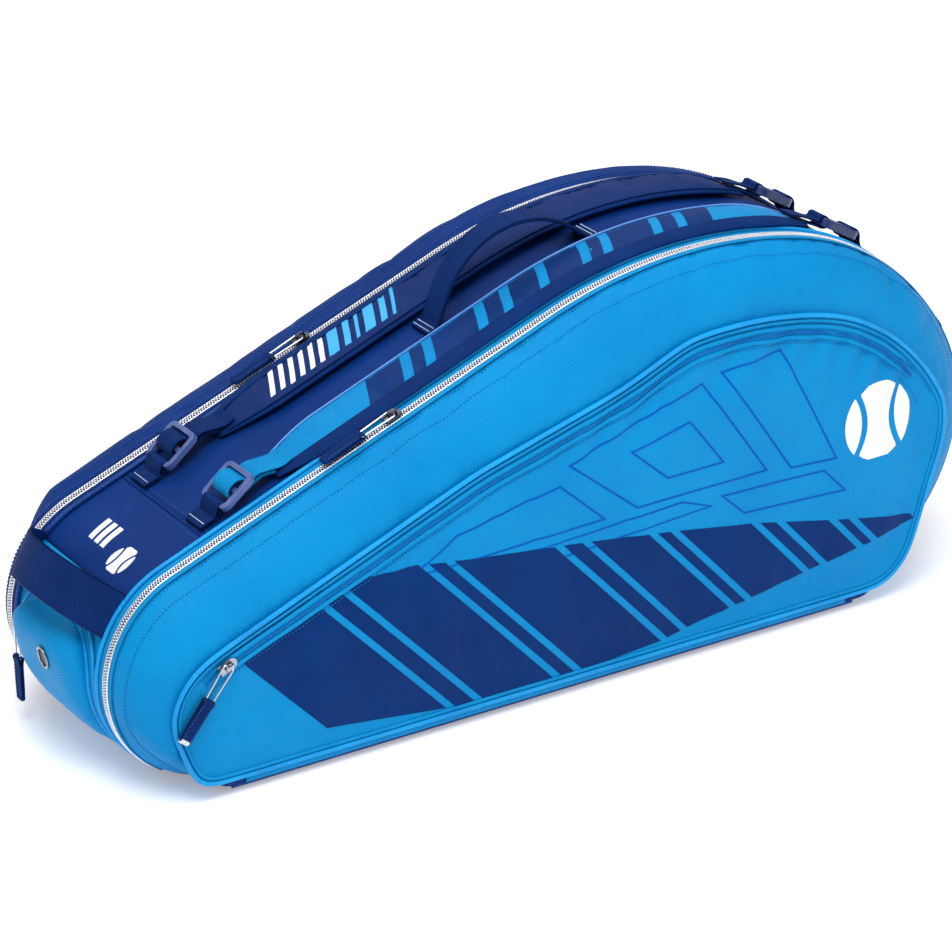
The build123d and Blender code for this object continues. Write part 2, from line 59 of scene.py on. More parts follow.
# Racket tournament bag, drawn in millimetres in the CAD model's frame and turned into metres
# where each mesh is made. +X runs to the head end, the front cover is at -Y, +Z is up.
MM = 0.001
SIDES = (("front", -1, "cyan"), ("rear", 1, "navy"))      # name, side of the bag, colour


def low(node):
    return np.array(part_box(node)[0]) / MM


def high(node):
    return np.array(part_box(node)[1]) / MM


def middle(node):
    return (low(node) + high(node)) / 2


# ---- The bag's side outline: tangent arcs over the top, one round each end ---------------
HEIGHT = 325.0
SLOPE = radians(21.9)
END_CENTRE = np.array((-293.5, 86.0))
END_RADIUS = 86.0
CROWN_RADIUS = 390.0
CROWN_END = radians(78.0)
SHOULDER_RADIUS = 235.0
SHOULDER_END = radians(30.0)
HALF_GUSSET = 78.0
FACE_Y = -low("front_cover_shell")[1]
COVER_DEPTH = FACE_Y - HALF_GUSSET
FOLD_Z = low("front_cover_shell")[2]


def polar(centre, radius, angle):
    return np.array((centre[0] + radius * cos(angle), centre[1] + radius * sin(angle)))


crown_z = HEIGHT - CROWN_RADIUS
crown_reach = cos(SLOPE) * (crown_z - END_RADIUS) + CROWN_RADIUS - END_RADIUS
CROWN_CENTRE = np.array((END_CENTRE[0] + crown_reach / sin(SLOPE), crown_z))
SHOULDER_CENTRE = polar(CROWN_CENTRE, CROWN_RADIUS - SHOULDER_RADIUS, CROWN_END)
HEAD_RADIUS = (SHOULDER_CENTRE[1] + SHOULDER_RADIUS * sin(SHOULDER_END)) / (1 + sin(SHOULDER_END))
HEAD_CENTRE = polar(SHOULDER_CENTRE, SHOULDER_RADIUS - HEAD_RADIUS, SHOULDER_END)
SLOPE_NORMAL = pi / 2 + SLOPE


def outline_table():
    """Length run, X, Z and the normal's angle, close together round the whole outline."""
    arcs = [
        (END_CENTRE, END_RADIUS, 1.5 * pi, SLOPE_NORMAL),
        (CROWN_CENTRE, CROWN_RADIUS, SLOPE_NORMAL, CROWN_END),
        (SHOULDER_CENTRE, SHOULDER_RADIUS, CROWN_END, SHOULDER_END),
        (HEAD_CENTRE, HEAD_RADIUS, SHOULDER_END, -pi / 2),
    ]
    points, angles = [], []
    for centre, radius, start, end in arcs:
        for angle in np.linspace(start, end, 300):
            points.append(polar(centre, radius, angle))
            angles.append(angle)
    for x in np.linspace(HEAD_CENTRE[0], END_CENTRE[0], 50):
        points.append((x, 0.0))
        angles.append(-pi / 2)
    points = np.array(points)
    steps = np.hypot(*np.diff(points, axis=0).T)
    return np.concatenate([[0], np.cumsum(steps)]), points[:, 0], points[:, 1], np.array(angles)


TABLE_L, TABLE_X, TABLE_Z, TABLE_A = outline_table()
LOOP = TABLE_L[-1]
OVER = LOOP - (HEAD_CENTRE[0] - END_CENTRE[0])      # the part over the top, without the bottom
END_ARC = END_RADIUS * (1.5 * pi - SLOPE_NORMAL)


def outline(length):
    """X, Z and the outward normal's two parts at this length round the outline."""
    length = np.mod(length, LOOP)
    angle = np.interp(length, TABLE_L, TABLE_A)
    x = np.interp(length, TABLE_L, TABLE_X)
    z = np.interp(length, TABLE_L, TABLE_Z)
    return x, z, np.cos(angle), np.sin(angle)


def place(length, y, out):
    """Points at this length round the outline, this Y, and this far out from it."""
    length, y, out = np.broadcast_arrays(length, np.asarray(y, float), out)
    x, z, nx, nz = outline(length)
    return np.stack([x + nx * out, y, z + nz * out], -1)


def outward(length):
    _, _, nx, nz = outline(np.asarray(length, float))
    return np.stack([nx, np.zeros_like(nx), nz], -1)


def length_at_x(x):
    """The length where the outline's upper side passes this X."""
    upper = (TABLE_L > END_ARC * 0.4) & (TABLE_L < OVER - HEAD_RADIUS)
    return np.interp(x, TABLE_X[upper], TABLE_L[upper])


def lengths_at_z(z):
    """The lengths where the two ends' arcs rise past this height."""
    return END_RADIUS * np.arccos(1 - z / END_RADIUS), OVER - HEAD_RADIUS * np.arccos(1 - z / HEAD_RADIUS)


def length_at_end(degrees):
    """The length at this angle of the handle end's arc."""
    return END_RADIUS * (1.5 * pi - radians(degrees))


# ---- Materials ---------------------------------------------------------------------------
def srgb(r, g, b):
    def linear(c):
        c /= 255
        return c / 12.92 if c <= 0.04045 else ((c + 0.055) / 1.055) ** 2.4

    return (linear(r), linear(g), linear(b), 1.0)


def material(name, roughness, metallic=0.0, coat=0.0, specular=0.5):
    mat = bpy.data.materials.new(name)
    mat.use_nodes = True
    tree = mat.node_tree
    shader = tree.nodes["Principled BSDF"]
    shader.inputs["Roughness"].default_value = roughness
    shader.inputs["Metallic"].default_value = metallic
    shader.inputs["Coat Weight"].default_value = coat
    shader.inputs["Specular IOR Level"].default_value = specular
    return mat, tree, shader


def node(tree, kind, inputs=None, **settings):
    made = tree.nodes.new("ShaderNode" + kind)
    for key, value in settings.items():
        setattr(made, key, value)
    for key, value in (inputs or {}).items():
        if isinstance(value, bpy.types.NodeSocket):
            tree.links.new(value, made.inputs[key])
        else:
            made.inputs[key].default_value = value
    return made


def tuned(tree, value, low_in, high_in, low_out, high_out):
    """value moved from one range to another, and kept inside it."""
    ranges = {"From Min": low_in, "From Max": high_in, "To Min": low_out, "To Max": high_out}
    return node(tree, "MapRange", {"Value": value, **ranges}).outputs["Result"]


def blended(tree, factor, first, second):
    made = node(tree, "Mix", data_type="RGBA")
    for key, value in (("Factor", factor), ("A", first), ("B", second)):
        sockets = [s for s in made.inputs if s.name == key and s.enabled]
        if isinstance(value, bpy.types.NodeSocket):
            tree.links.new(value, sockets[0])
        else:
            sockets[0].default_value = value
    return [s for s in made.outputs if s.enabled][0]


def product(tree, first, second):
    return node(tree, "Math", {0: first, 1: second}, operation="MULTIPLY").outputs[0]


def total(tree, first, second):
    return node(tree, "Math", {0: first, 1: second}, operation="ADD").outputs[0]


def threads(tree, coords, pitch, turn):
    """Bands one pitch apart, in millimetres, across the direction turned by this many degrees."""
    turned = node(tree, "Mapping", {"Vector": coords, "Rotation": (0, 0, radians(turn))})
    scale = 2 * pi / (20 * pitch * MM)
    wave = node(tree, "TexWave", {"Vector": turned.outputs[0], "Scale": scale}, bands_direction="X")
    return wave.outputs["Fac"]


def cloud(tree, coords, size, detail=3.0):
    """Soft noise, with blotches of about this size in millimetres."""
    made = node(tree, "TexNoise", {"Vector": coords, "Scale": 1 / (size * MM), "Detail": detail})
    return made.outputs["Fac"]


def patches(tree, spot, size, start, end, most):
    """Blotches of about this size, from 0 to most as their noise goes from start to end."""
    return tuned(tree, cloud(tree, spot, size), start, end, 0, most)


def bumped(tree, shader, height, distance):
    bump = node(tree, "Bump", {"Height": height, "Distance": distance * MM, "Strength": 1.0})
    tree.links.new(bump.outputs[0], shader.inputs["Normal"])


def coloured(tree, shader, factor, first, second):
    tree.links.new(blended(tree, factor, first, second), shader.inputs["Base Color"])


def darker(colour, share):
    return [c * share for c in colour[:3]] + [1.0]


def surface_coords(tree):
    """The piece's own cut-out coordinates, and its place in the bag."""
    coords = node(tree, "TexCoord")
    return coords.outputs["UV"], coords.outputs["Object"]


def woven(name, colour, shade, pitch=1.5, turn=38, roughness=0.44, bump=0.2):
    """Polyester cloth: crossed threads, faded and deeper patches, and a slightly uneven gloss."""
    mat, tree, shader = material(name, roughness, specular=0.09)
    cut, spot = surface_coords(tree)
    weave = product(tree, threads(tree, cut, pitch, turn), threads(tree, cut, pitch, turn + 90))
    tone = blended(tree, patches(tree, spot, 90, 0.35, 0.65, 0.5), colour, shade)
    gaps = product(tree, tuned(tree, weave, 0.0, 0.5, 1.0, 0.0), 0.45)
    coloured(tree, shader, gaps, tone, darker(colour, 0.72))
    gloss = tuned(tree, cloud(tree, spot, 26), 0.3, 0.7, -0.05, 0.06)
    rough = total(tree, tuned(tree, weave, 0, 1, 0.10, -0.10), gloss)
    tree.links.new(total(tree, rough, roughness), shader.inputs["Roughness"])
    fuzz = product(tree, cloud(tree, spot, 0.9), 0.35)
    bumped(tree, shader, total(tree, weave, fuzz), bump)
    return mat


def ribbed(name, colour, shade, pitch=1.6, bump=0.35):
    """Webbing: ribs across its length, each broken into short herringbone threads."""
    mat, tree, shader = material(name, 0.62, specular=0.08)
    cut, spot = surface_coords(tree)
    yarns = product(tree, threads(tree, cut, pitch * 1.7, 28), threads(tree, cut, pitch * 1.7, -28))
    height = total(tree, threads(tree, cut, pitch, 90), product(tree, yarns, 0.8))
    tone = blended(tree, patches(tree, spot, 30, 0.35, 0.65, 0.6), colour, shade)
    coloured(tree, shader, tuned(tree, height, 0.0, 0.9, 0.8, 0.0), tone, darker(colour, 0.5))
    bumped(tree, shader, height, bump)
    return mat


def corded(name, colour, shade, roughness=0.38):
    """Piping: smooth coated cloth pulled round a cord, with small creases across it."""
    mat, tree, shader = material(name, roughness, specular=0.22)
    cut, spot = surface_coords(tree)
    creases = product(tree, threads(tree, cut, 4.3, 4), cloud(tree, spot, 7))
    coloured(tree, shader, patches(tree, spot, 45, 0.3, 0.7, 0.8), colour, shade)
    bumped(tree, shader, total(tree, creases, product(tree, threads(tree, cut, 0.8, 45), 0.25)), 0.35)
    return mat


def metal(name, colour, roughness, wear):
    mat, tree, shader = material(name, roughness, metallic=1.0)
    marks = cloud(tree, surface_coords(tree)[1], 3, 5)
    coloured(tree, shader, tuned(tree, marks, 0.4, 0.7, 0, 0.7), colour, darker(colour, wear))
    gloss = tuned(tree, marks, 0.3, 0.7, roughness - 0.08, roughness + 0.15)
    tree.links.new(gloss, shader.inputs["Roughness"])
    bumped(tree, shader, marks, 0.05)
    return mat


def plastic(name, colour, shade, roughness=0.32):
    mat, tree, shader = material(name, roughness, coat=0.25)
    spot = surface_coords(tree)[1]
    coloured(tree, shader, patches(tree, spot, 14, 0.35, 0.65, 0.7), colour, shade)
    gloss = tuned(tree, cloud(tree, spot, 5), 0.3, 0.7, roughness - 0.05, roughness + 0.14)
    tree.links.new(gloss, shader.inputs["Roughness"])
    bumped(tree, shader, cloud(tree, spot, 0.8, 4), 0.06)
    return mat


def printed(name, colour, shade):
    """Ink printed over the cloth, so its weave shows faintly through."""
    mat, tree, shader = material(name, 0.42, specular=0.06)
    cut, spot = surface_coords(tree)
    coloured(tree, shader, patches(tree, spot, 60, 0.35, 0.65, 0.6), colour, shade)
    bumped(tree, shader, product(tree, threads(tree, cut, 1.5, 38), threads(tree, cut, 1.5, 128)), 0.07)
    return mat


CYAN = srgb(0, 142, 206)
CYAN_DEEP = srgb(0, 121, 190)
NAVY = srgb(8, 52, 124)
NAVY_DEEP = srgb(4, 34, 92)
WEB_NAVY = srgb(3, 44, 108)
mats = {
    "cyan": woven("cyan_cloth", CYAN, CYAN_DEEP, pitch=2.1, bump=0.3),
    "navy": woven("navy_cloth", NAVY, NAVY_DEEP, pitch=1.2),
    "strap_navy": woven("strap_cloth", srgb(14, 44, 104), NAVY_DEEP, pitch=1.2),
    "lining": woven("lining_cloth", srgb(120, 126, 134), srgb(92, 98, 108), pitch=2.6, turn=0, roughness=0.7),
    "navy_web": ribbed("navy_webbing", WEB_NAVY, srgb(2, 32, 86)),
    "cyan_web": ribbed("cyan_webbing", srgb(10, 148, 212), CYAN_DEEP),
    "binding": ribbed("binding_tape", srgb(0, 46, 112), srgb(0, 34, 88), pitch=0.9, bump=0.15),
    "cyan_tape": ribbed("cyan_zip_tape", srgb(16, 150, 214), srgb(4, 126, 194), pitch=1.1, bump=0.16),
    "navy_tape": ribbed("navy_zip_tape", srgb(6, 44, 108), NAVY_DEEP, pitch=1.1, bump=0.16),
    "cyan_piping": corded("cyan_piping", srgb(6, 160, 226), srgb(0, 130, 202)),
    "navy_piping": corded("navy_piping", srgb(8, 66, 150), srgb(3, 42, 108)),
    "teeth": metal("zip_teeth_silver", srgb(240, 240, 246), 0.4, 0.8),
    "slider": metal("slider_nickel", srgb(96, 100, 112), 0.24, 0.45),
    "wire": metal("pull_wire_steel", srgb(214, 216, 222), 0.2, 0.6),
    "eyelet": metal("eyelet_ring", srgb(150, 156, 170), 0.25, 0.5),
    "plastic": plastic("hook_plastic", srgb(10, 40, 104), srgb(5, 26, 80)),
    "rim": plastic("buckle_plastic", srgb(88, 104, 160), srgb(62, 78, 136)),
    # painted shade: near-black plastic for the disc that stands in for the shadowed opening inside the eyelet
    "hole": plastic("eyelet_painted_shade", srgb(8, 14, 36), srgb(4, 8, 24), 0.6),
    "board": plastic("base_board", srgb(60, 62, 66), srgb(44, 46, 50), 0.7),
    "ink_navy": printed("navy_print", srgb(0, 46, 108), srgb(0, 38, 94)),
    "ink_white": printed("white_print", srgb(236, 236, 246), srgb(224, 226, 240)),
    "ink_blue": printed("blue_line_print", srgb(0, 84, 178), srgb(0, 74, 164)),
    "coil": corded("pocket_zip_coil", srgb(0, 108, 196), srgb(0, 92, 178), 0.5),
    "edge": corded("strap_edge_cord", srgb(112, 158, 226), srgb(84, 132, 208), 0.5),
    "chrome": metal("slider_chrome", srgb(172, 174, 184), 0.16, 0.4),
    "ink_sky": printed("sky_print", srgb(70, 168, 226), srgb(50, 150, 214)),
    "thread_cyan": corded("cyan_thread", srgb(0, 118, 190), srgb(0, 102, 174), 0.6),
    "thread_navy": corded("navy_thread", srgb(40, 92, 168), srgb(24, 66, 140), 0.6),
    "thread_pale": corded("pale_thread", srgb(206, 220, 240), srgb(170, 190, 222), 0.6),
}


# ---- Mesh making -------------------------------------------------------------------------
def make(name, points, faces, looks, uv=None):
    """A mesh object from points in millimetres. looks is one material's key, or several."""
    mesh = bpy.data.meshes.new(name)
    mesh.from_pydata((np.asarray(points, float).reshape(-1, 3) * MM).tolist(), [], faces)
    for key in [looks] if isinstance(looks, str) else looks:
        mesh.materials.append(mats[key])
    mesh.polygons.foreach_set("use_smooth", [True] * len(mesh.polygons))
    if uv is not None:
        corners = np.empty(len(mesh.loops), int)
        mesh.loops.foreach_get("vertex_index", corners)
        layer = mesh.uv_layers.new(name="UVMap")
        layer.data.foreach_set("uv", (np.asarray(uv).reshape(-1, 2)[corners] * MM).ravel())
    made = bpy.data.objects.new(name, mesh)
    bpy.context.scene.collection.objects.link(made)
    return made


def grid_faces(rows, columns, wrap=False):
    faces = []
    for r in range(rows - 1):
        for c in range(columns if wrap else columns - 1):
            d = (c + 1) % columns
            faces.append((r * columns + c, r * columns + d, (r + 1) * columns + d, (r + 1) * columns + c))
    return faces


def run(points):
    """How far along a line each of its points is."""
    steps = np.linalg.norm(np.diff(points, axis=0), axis=1)
    return np.concatenate([[0], np.cumsum(steps)])


def grid_uv(points):
    """Cut-out coordinates of a grid of points: distance along its middle row and column."""
    rows, columns = points.shape[:2]
    u = run(points[rows // 2])
    v = run(points[:, columns // 2])
    return np.stack(np.meshgrid(u, v), -1)


def from_grid(name, points, looks):
    return make(name, points, grid_faces(*points.shape[:2]), looks, grid_uv(points))


def at_y(flat, y):
    """(X, Z) points as (X, Y, Z) ones; y is one number or one for each point."""
    return np.stack([flat[..., 0], np.broadcast_to(y, flat.shape[:-1]), flat[..., 1]], -1)


def smooth_line(points, count):
    """A smooth curve through the given points, evenly divided."""
    p = np.asarray(points, float)
    p = np.vstack([2 * p[0] - p[1], p, 2 * p[-1] - p[-2]])
    made = []
    for i in range(1, len(p) - 2):
        for t in np.linspace(0, 1, 24, endpoint=False):
            a, b, c, d = p[i - 1 : i + 3]
            square, cube = 2 * a - 5 * b + 4 * c - d, 3 * b - a - 3 * c + d
            made.append(0.5 * (2 * b + (c - a) * t + square * t**2 + cube * t**3))
    made.append(p[-2])
    return spread(np.array(made), count)


def spread(line, count):
    """The same line with this many evenly spaced points."""
    gone = run(line)
    wanted = np.linspace(0, gone[-1], count)
    return np.stack([np.interp(wanted, gone, line[:, k]) for k in range(line.shape[1])], -1)


def unit(v):
    return v / np.maximum(np.linalg.norm(v, axis=-1, keepdims=True), 1e-9)


def sweep_rings(path, up, profile, loop=False, turn=0.0):
    """The profile's points (across, up) carried along the path."""
    if loop:
        tangent = np.roll(path, -1, 0) - np.roll(path, 1, 0)
    else:
        tangent = np.gradient(path, axis=0)
    tangent = unit(tangent)
    side = unit(np.cross(tangent, np.broadcast_to(up, path.shape)))
    lift = np.cross(side, tangent)
    profile = np.asarray(profile, float)
    if profile.ndim == 2:
        profile = np.broadcast_to(profile, (len(path),) + profile.shape)
    turn = np.broadcast_to(np.asarray(turn, float), (len(path),))[:, None]
    across = profile[..., 0] * np.cos(turn) - profile[..., 1] * np.sin(turn)
    height = profile[..., 0] * np.sin(turn) + profile[..., 1] * np.cos(turn)
    return path[:, None] + across[..., None] * side[:, None] + height[..., None] * lift[:, None]


def from_rings(name, rings, looks, loop=False):
    """A closed tube from rings of points; its two ends are closed unless it is a loop."""
    count, size = rings.shape[:2]
    faces = []
    for r in range(count if loop else count - 1):
        s = (r + 1) % count
        for c in range(size):
            d = (c + 1) % size
            faces.append((r * size + c, s * size + c, s * size + d, r * size + d))
    if not loop:
        faces.append(tuple(range(size)))
        faces.append(tuple(range((count - 1) * size, count * size))[::-1])
    along = run(rings.mean(1))
    around = run(rings[count // 2])
    uv = np.stack(np.broadcast_arrays(along[:, None], around[None, :]), -1)
    made = make(name, rings, faces, looks, uv)
    outside(made)
    return made


def edit(obj, change):
    """Runs change on a bmesh of the object and writes the result back."""
    work = bmesh.new()
    work.from_mesh(obj.data)
    change(work)
    work.to_mesh(obj.data)
    work.free()


def outside(obj):
    """Turns the faces of a closed piece outwards."""
    edit(obj, lambda work: bmesh.ops.recalc_face_normals(work, faces=work.faces))


def weld(obj, gap):
    """Joins points closer than the gap, and turns all faces one way."""

    def change(work):
        bmesh.ops.remove_doubles(work, verts=work.verts, dist=gap * MM)
        bmesh.ops.recalc_face_normals(work, faces=work.faces)

    edit(obj, change)


def swept(name, path, up, profile, looks, loop=False, turn=0.0):
    return from_rings(name, sweep_rings(path, up, profile, loop, turn), looks, loop)


def circle(radius, count=10):
    angles = np.linspace(0, 2 * pi, count, endpoint=False)
    return np.stack([radius * np.cos(angles), radius * np.sin(angles)], -1)


def flat_profile(width, thickness, middle_rise=0.0):
    """A ribbon's cross-section with rounded edges; middle_rise crowns it."""
    half, edge = width / 2, thickness / 2
    x = np.linspace(half - edge, edge - half, 7)
    crown = middle_rise * (1 - (x / half) ** 2)
    top, bottom = np.stack([x, edge + crown], -1), np.stack([x, crown - edge], -1)[::-1]
    return np.vstack([top, [(-half, 0)], bottom, [(half, 0)]])


def applied(obj):
    """The object's mesh with its modifiers made real."""
    graph = bpy.context.evaluated_depsgraph_get()
    mesh = bpy.data.meshes.new_from_object(obj.evaluated_get(graph), depsgraph=graph)
    obj.modifiers.clear()
    obj.data = mesh
    return obj


def thicken(obj, thickness, inner=None):
    """Gives a sheet its thickness, inwards; inner is the inside's material."""
    mod = obj.modifiers.new("wall", "SOLIDIFY")
    mod.thickness = thickness * MM
    mod.offset = -1.0
    mod.use_even_offset = False
    if inner:
        obj.data.materials.append(mats[inner])
        mod.material_offset = len(obj.data.materials) - 1
    return applied(obj)


def join(name, parts):
    """One object from several; they keep their materials."""
    for part in parts:
        part.select_set(False)
    first = parts[0]
    chosen = {"object": first, "active_object": first, "selected_objects": parts}
    with bpy.context.temp_override(selected_editable_objects=parts, **chosen):
        bpy.ops.object.join()
    first.name = first.data.name = name
    return first


def scatter(name, unit_points, unit_faces, origins, across, along, up, looks):
    """A copy of a small shape at each origin, turned to its three directions there."""
    unit_points = np.asarray(unit_points, float)
    u, v, w = (unit_points[None, :, k : k + 1] for k in range(3))
    points = origins[:, None] + u * across[:, None] + v * along[:, None] + w * up[:, None]
    size = len(unit_points)
    faces = [tuple(i * size + k for k in face) for i in range(len(origins)) for face in unit_faces]
    made = make(name, points, faces, looks, points.reshape(-1, 3)[:, :2])
    outside(made)
    return made


def finished(obj, body, *nodes, slot=None, blend=None):
    """Declares what the piece moves with and what it stands for; with blend it only bakes its transform. slot
    is not used.
    """
    if blend:
        start, end = (Vector([float(c) * MM for c in point]) for point in blend[1])
        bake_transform(obj)
    else:
        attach(obj, body)
    if nodes:
        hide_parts(*nodes)
    return obj


def rod(rings, sides, spot_at):
    """A short rod's points and faces; spot_at gives a point from its angle and its ring's values."""
    points = [spot_at(2 * pi * k / sides, *ring) for ring in rings for k in range(sides)]
    ends = [tuple(range(sides))[::-1], tuple(range(len(points) - sides, len(points)))]
    return points, grid_faces(len(rings), sides, wrap=True) + ends


THREAD = 0.42               # a stitch's radius
STITCH_LIFT = 0.25


def dash(length):
    """One stitch: a short thread that dips at both ends."""
    rings = [(-0.5, 0.35, -0.6), (-0.28, 1.0, 0.3), (0.28, 1.0, 0.3), (0.5, 0.35, -0.6)]

    def spot_at(a, along, size, rise):
        return THREAD * size * cos(a), along * length, THREAD * (size * sin(a) + rise)

    return rod(rings, 5, spot_at)


def tooth(length, width, height):
    """A rounded bar across the zip: one tooth or one turn of its coil."""
    rings = [(-0.5, 0.6), (-0.38, 1.0), (0.38, 1.0), (0.5, 0.6)]

    def spot_at(a, at, size):
        return at * length, size * width / 2 * cos(a), size * height / 2 * sin(a)

    return rod(rings, 6, spot_at)


def stations(line, normals, pitch):
    """Evenly spaced points of a line on a surface, and the directions across, along and up there."""
    both = spread(np.hstack([line, normals]), max(2, int(run(line)[-1] / pitch)))
    origins, up = both[:, :3], unit(both[:, 3:])
    along = unit(np.gradient(origins, axis=0))
    return origins, unit(np.cross(along, up)), along, up


def stitches(name, line, normals, looks, body, pitch=3.2, share=0.62):
    """Stitching along a line of points on a surface with these normals."""
    origins, across, along, _ = stations(line, normals, pitch)
    made = scatter(name, *dash(pitch * share), origins, across, along, np.cross(across, along), looks)
    return finished(made, body)


def bars(name, line, normals, shape, pitch, looks, shift=0.0, offset=0.0):
    """A row of teeth along a line on a surface, moved sideways by shift and along by offset."""
    origins, across, along, up = stations(line, normals, pitch)
    return scatter(name, *shape, origins + across * shift + along * offset, across, along, up, looks)


def bvh(obj):
    """A tree of the object's faces, in millimetres, for finding points on its surface."""
    points = [v.co / MM for v in obj.data.vertices]
    return BVHTree.FromPolygons(points, [tuple(p.vertices) for p in obj.data.polygons])


PRINT_LIFT = 0.05           # a print lies this far off the cloth


def stencil(name, source, pieces, plane, looks, body, thickness=0.25, side=None):
    """A print cut out of the surface it lies on, or out of its faces on one side.

    pieces are convex polygons in the plane's two axes.
    """
    first, second = plane
    whole = bmesh.new()
    for corners in pieces:
        corners = np.asarray(corners, float) * MM
        work = bmesh.new()
        work.from_mesh(source.data)
        lo, hi = corners.min(0), corners.max(0)

        def beyond(face):
            spots = [(v.co[first], v.co[second]) for v in face.verts]
            return any(all(s[k] < lo[k] for s in spots) or all(s[k] > hi[k] for s in spots) for k in (0, 1))

        outer = [f for f in work.faces if beyond(f) or (side and f.normal.dot(Vector(side)) < 0.25)]
        bmesh.ops.delete(work, geom=outer, context="FACES")
        centre = corners.mean(0)
        for k in range(len(corners)):
            a, b = corners[k], corners[(k + 1) % len(corners)]
            out = np.array((b[1] - a[1], a[0] - b[0]))
            if out @ (centre - a) > 0:
                out = -out
            point, normal = [0.0] * 3, [0.0] * 3
            point[first], point[second] = a
            normal[first], normal[second] = out
            geometry = work.verts[:] + work.edges[:] + work.faces[:]
            bmesh.ops.bisect_plane(work, geom=geometry, plane_co=point, plane_no=normal, clear_outer=True)
        part = bpy.data.meshes.new(name)
        work.to_mesh(part)
        work.free()
        whole.from_mesh(part)
        bpy.data.meshes.remove(part)
    bmesh.ops.remove_doubles(whole, verts=whole.verts, dist=0.02 * MM)
    whole.normal_update()
    for v in whole.verts:
        v.co += v.normal * (PRINT_LIFT + thickness) * MM
    made = make(name, [], [], looks)
    whole.to_mesh(made.data)
    whole.free()
    for face in made.data.polygons:
        face.material_index = 0
        face.use_smooth = True
    thicken(made, thickness)
    made.data.set_sharp_from_angle(angle=radians(35))
    return finished(made, body)


def cut_below(obj, z, keep_upper=True):
    """Cuts the sheet at this height and keeps one side."""

    def change(work):
        geometry = work.verts[:] + work.edges[:] + work.faces[:]
        plane = {"dist": 0.05 * MM, "plane_co": (0, 0, z * MM), "plane_no": (0, 0, 1)}
        plane |= {"clear_outer": not keep_upper, "clear_inner": keep_upper}
        bmesh.ops.bisect_plane(work, geom=geometry, **plane)

    edit(obj, change)
    return obj


def coons(loop, across, up):
    """A grid of points inside a closed line. The line runs bottom, right, top, left."""
    bottom = loop[: across + 1]
    right = loop[across : across + up + 1]
    top = loop[across + up : 2 * across + up + 1][::-1]
    left = np.vstack([loop[2 * across + up :], loop[:1]])[::-1]
    u = np.linspace(0, 1, across + 1)[None, :, None]
    v = np.linspace(0, 1, up + 1)[:, None, None]
    sides = (1 - v) * bottom[None] + v * top[None] + (1 - u) * left[:, None] + u * right[:, None]
    corners = (1 - u) * (1 - v) * bottom[0] + u * (1 - v) * bottom[-1]
    return sides - (corners + (1 - u) * v * top[0] + u * v * top[-1])


def pillow(rows, columns, power):
    """1 in the middle of a grid and 0 at its edge."""
    s = np.linspace(-1, 1, columns)[None, :]
    t = np.linspace(-1, 1, rows)[:, None]
    return np.sqrt(np.clip((1 - np.abs(s) ** power) * (1 - np.abs(t) ** power), 0, 1))


def nearest(points, line):
    """How far each point is from a closely divided line."""
    best = np.full(len(points), 1e9)
    for start in range(0, len(line), 64):
        part = line[start : start + 64]
        best = np.minimum(best, np.linalg.norm(points[:, None] - part[None], axis=2).min(1))
    return best


def mesh_points(mesh):
    points = np.empty(len(mesh.vertices) * 3)
    mesh.vertices.foreach_get("co", points)
    return points.reshape(-1, 3) / MM


def vertices(obj):
    return mesh_points(obj.data)


def set_vertices(obj, points):
    obj.data.vertices.foreach_set("co", (points * MM).ravel())
    obj.data.update()


def rumple(points, size, seed):
    """Soft random height for each point, about -1 to 1."""
    return np.array([noise.noise(Vector(p / size) + Vector((seed, 0, 0))) for p in points])


# ---- Simulation --------------------------------------------------------------------------
SIM_FRAMES = 20
CLOTH_SETTINGS = {
    "quality": 4,
    "mass": 0.25,
    "tension_stiffness": 12,
    "compression_stiffness": 12,
    "shear_stiffness": 6,
    "bending_stiffness": 0.6,
    "air_damping": 4,
    "vertex_group_mass": "sewn",
    "use_pressure": True,
}


def inflate(jobs):
    """Cloth under air pressure for padded pieces: (object, pinned points, pressure, growth, cap)."""
    scene = bpy.context.scene
    before = {}
    for obj, pinned, pressure, growth, cap in jobs:
        before[obj.name] = vertices(obj)
        group = obj.vertex_groups.new(name="sewn")
        for strength in np.unique(pinned):
            if strength > 0:
                group.add(np.flatnonzero(pinned == strength).tolist(), float(strength), "ADD")
        mod = obj.modifiers.new("padding", "CLOTH")
        for key, value in CLOTH_SETTINGS.items():
            setattr(mod.settings, key, value)
        mod.settings.uniform_pressure_force = pressure
        mod.settings.shrink_min = -growth
        mod.settings.effector_weights.gravity = 0
        mod.collision_settings.use_collision = False
        mod.point_cache.frame_start = 1
        mod.point_cache.frame_end = SIM_FRAMES
    for step in range(1, SIM_FRAMES + 1):
        scene.frame_set(step)
    graph = bpy.context.evaluated_depsgraph_get()
    for obj, pinned, pressure, growth, cap in jobs:
        moved = mesh_points(obj.evaluated_get(graph).to_mesh()) - before[obj.name]
        far = np.linalg.norm(moved, axis=1, keepdims=True)
        moved *= np.minimum(1, cap * np.tanh(far / cap) / np.maximum(far, 1e-9))
        obj.evaluated_get(graph).to_mesh_clear()
        obj.modifiers.clear()
        obj.vertex_groups.clear()
        set_vertices(obj, before[obj.name] + moved)
    scene.frame_set(1)


# ---- Camera, light and floor -------------------------------------------------------------
VIEW_TURN = radians(-32.45)
VIEW_RISE = radians(24.53)
VIEW_DISTANCE = 3.0
LENS = 144.8
TARGET = (-0.01185, 0.0, 0.1387)
FLOOR_REACH = 9000.0
FLOOR_Z = -0.4
LAMPS = [
    ("key", (-0.7, -0.9, 2.2), 1.3, 41),
    ("fill", (0.9, -2.0, 1.0), 1.6, 10),
    ("top", (0.3, 1.1, 2.2), 1.8, 22),
]


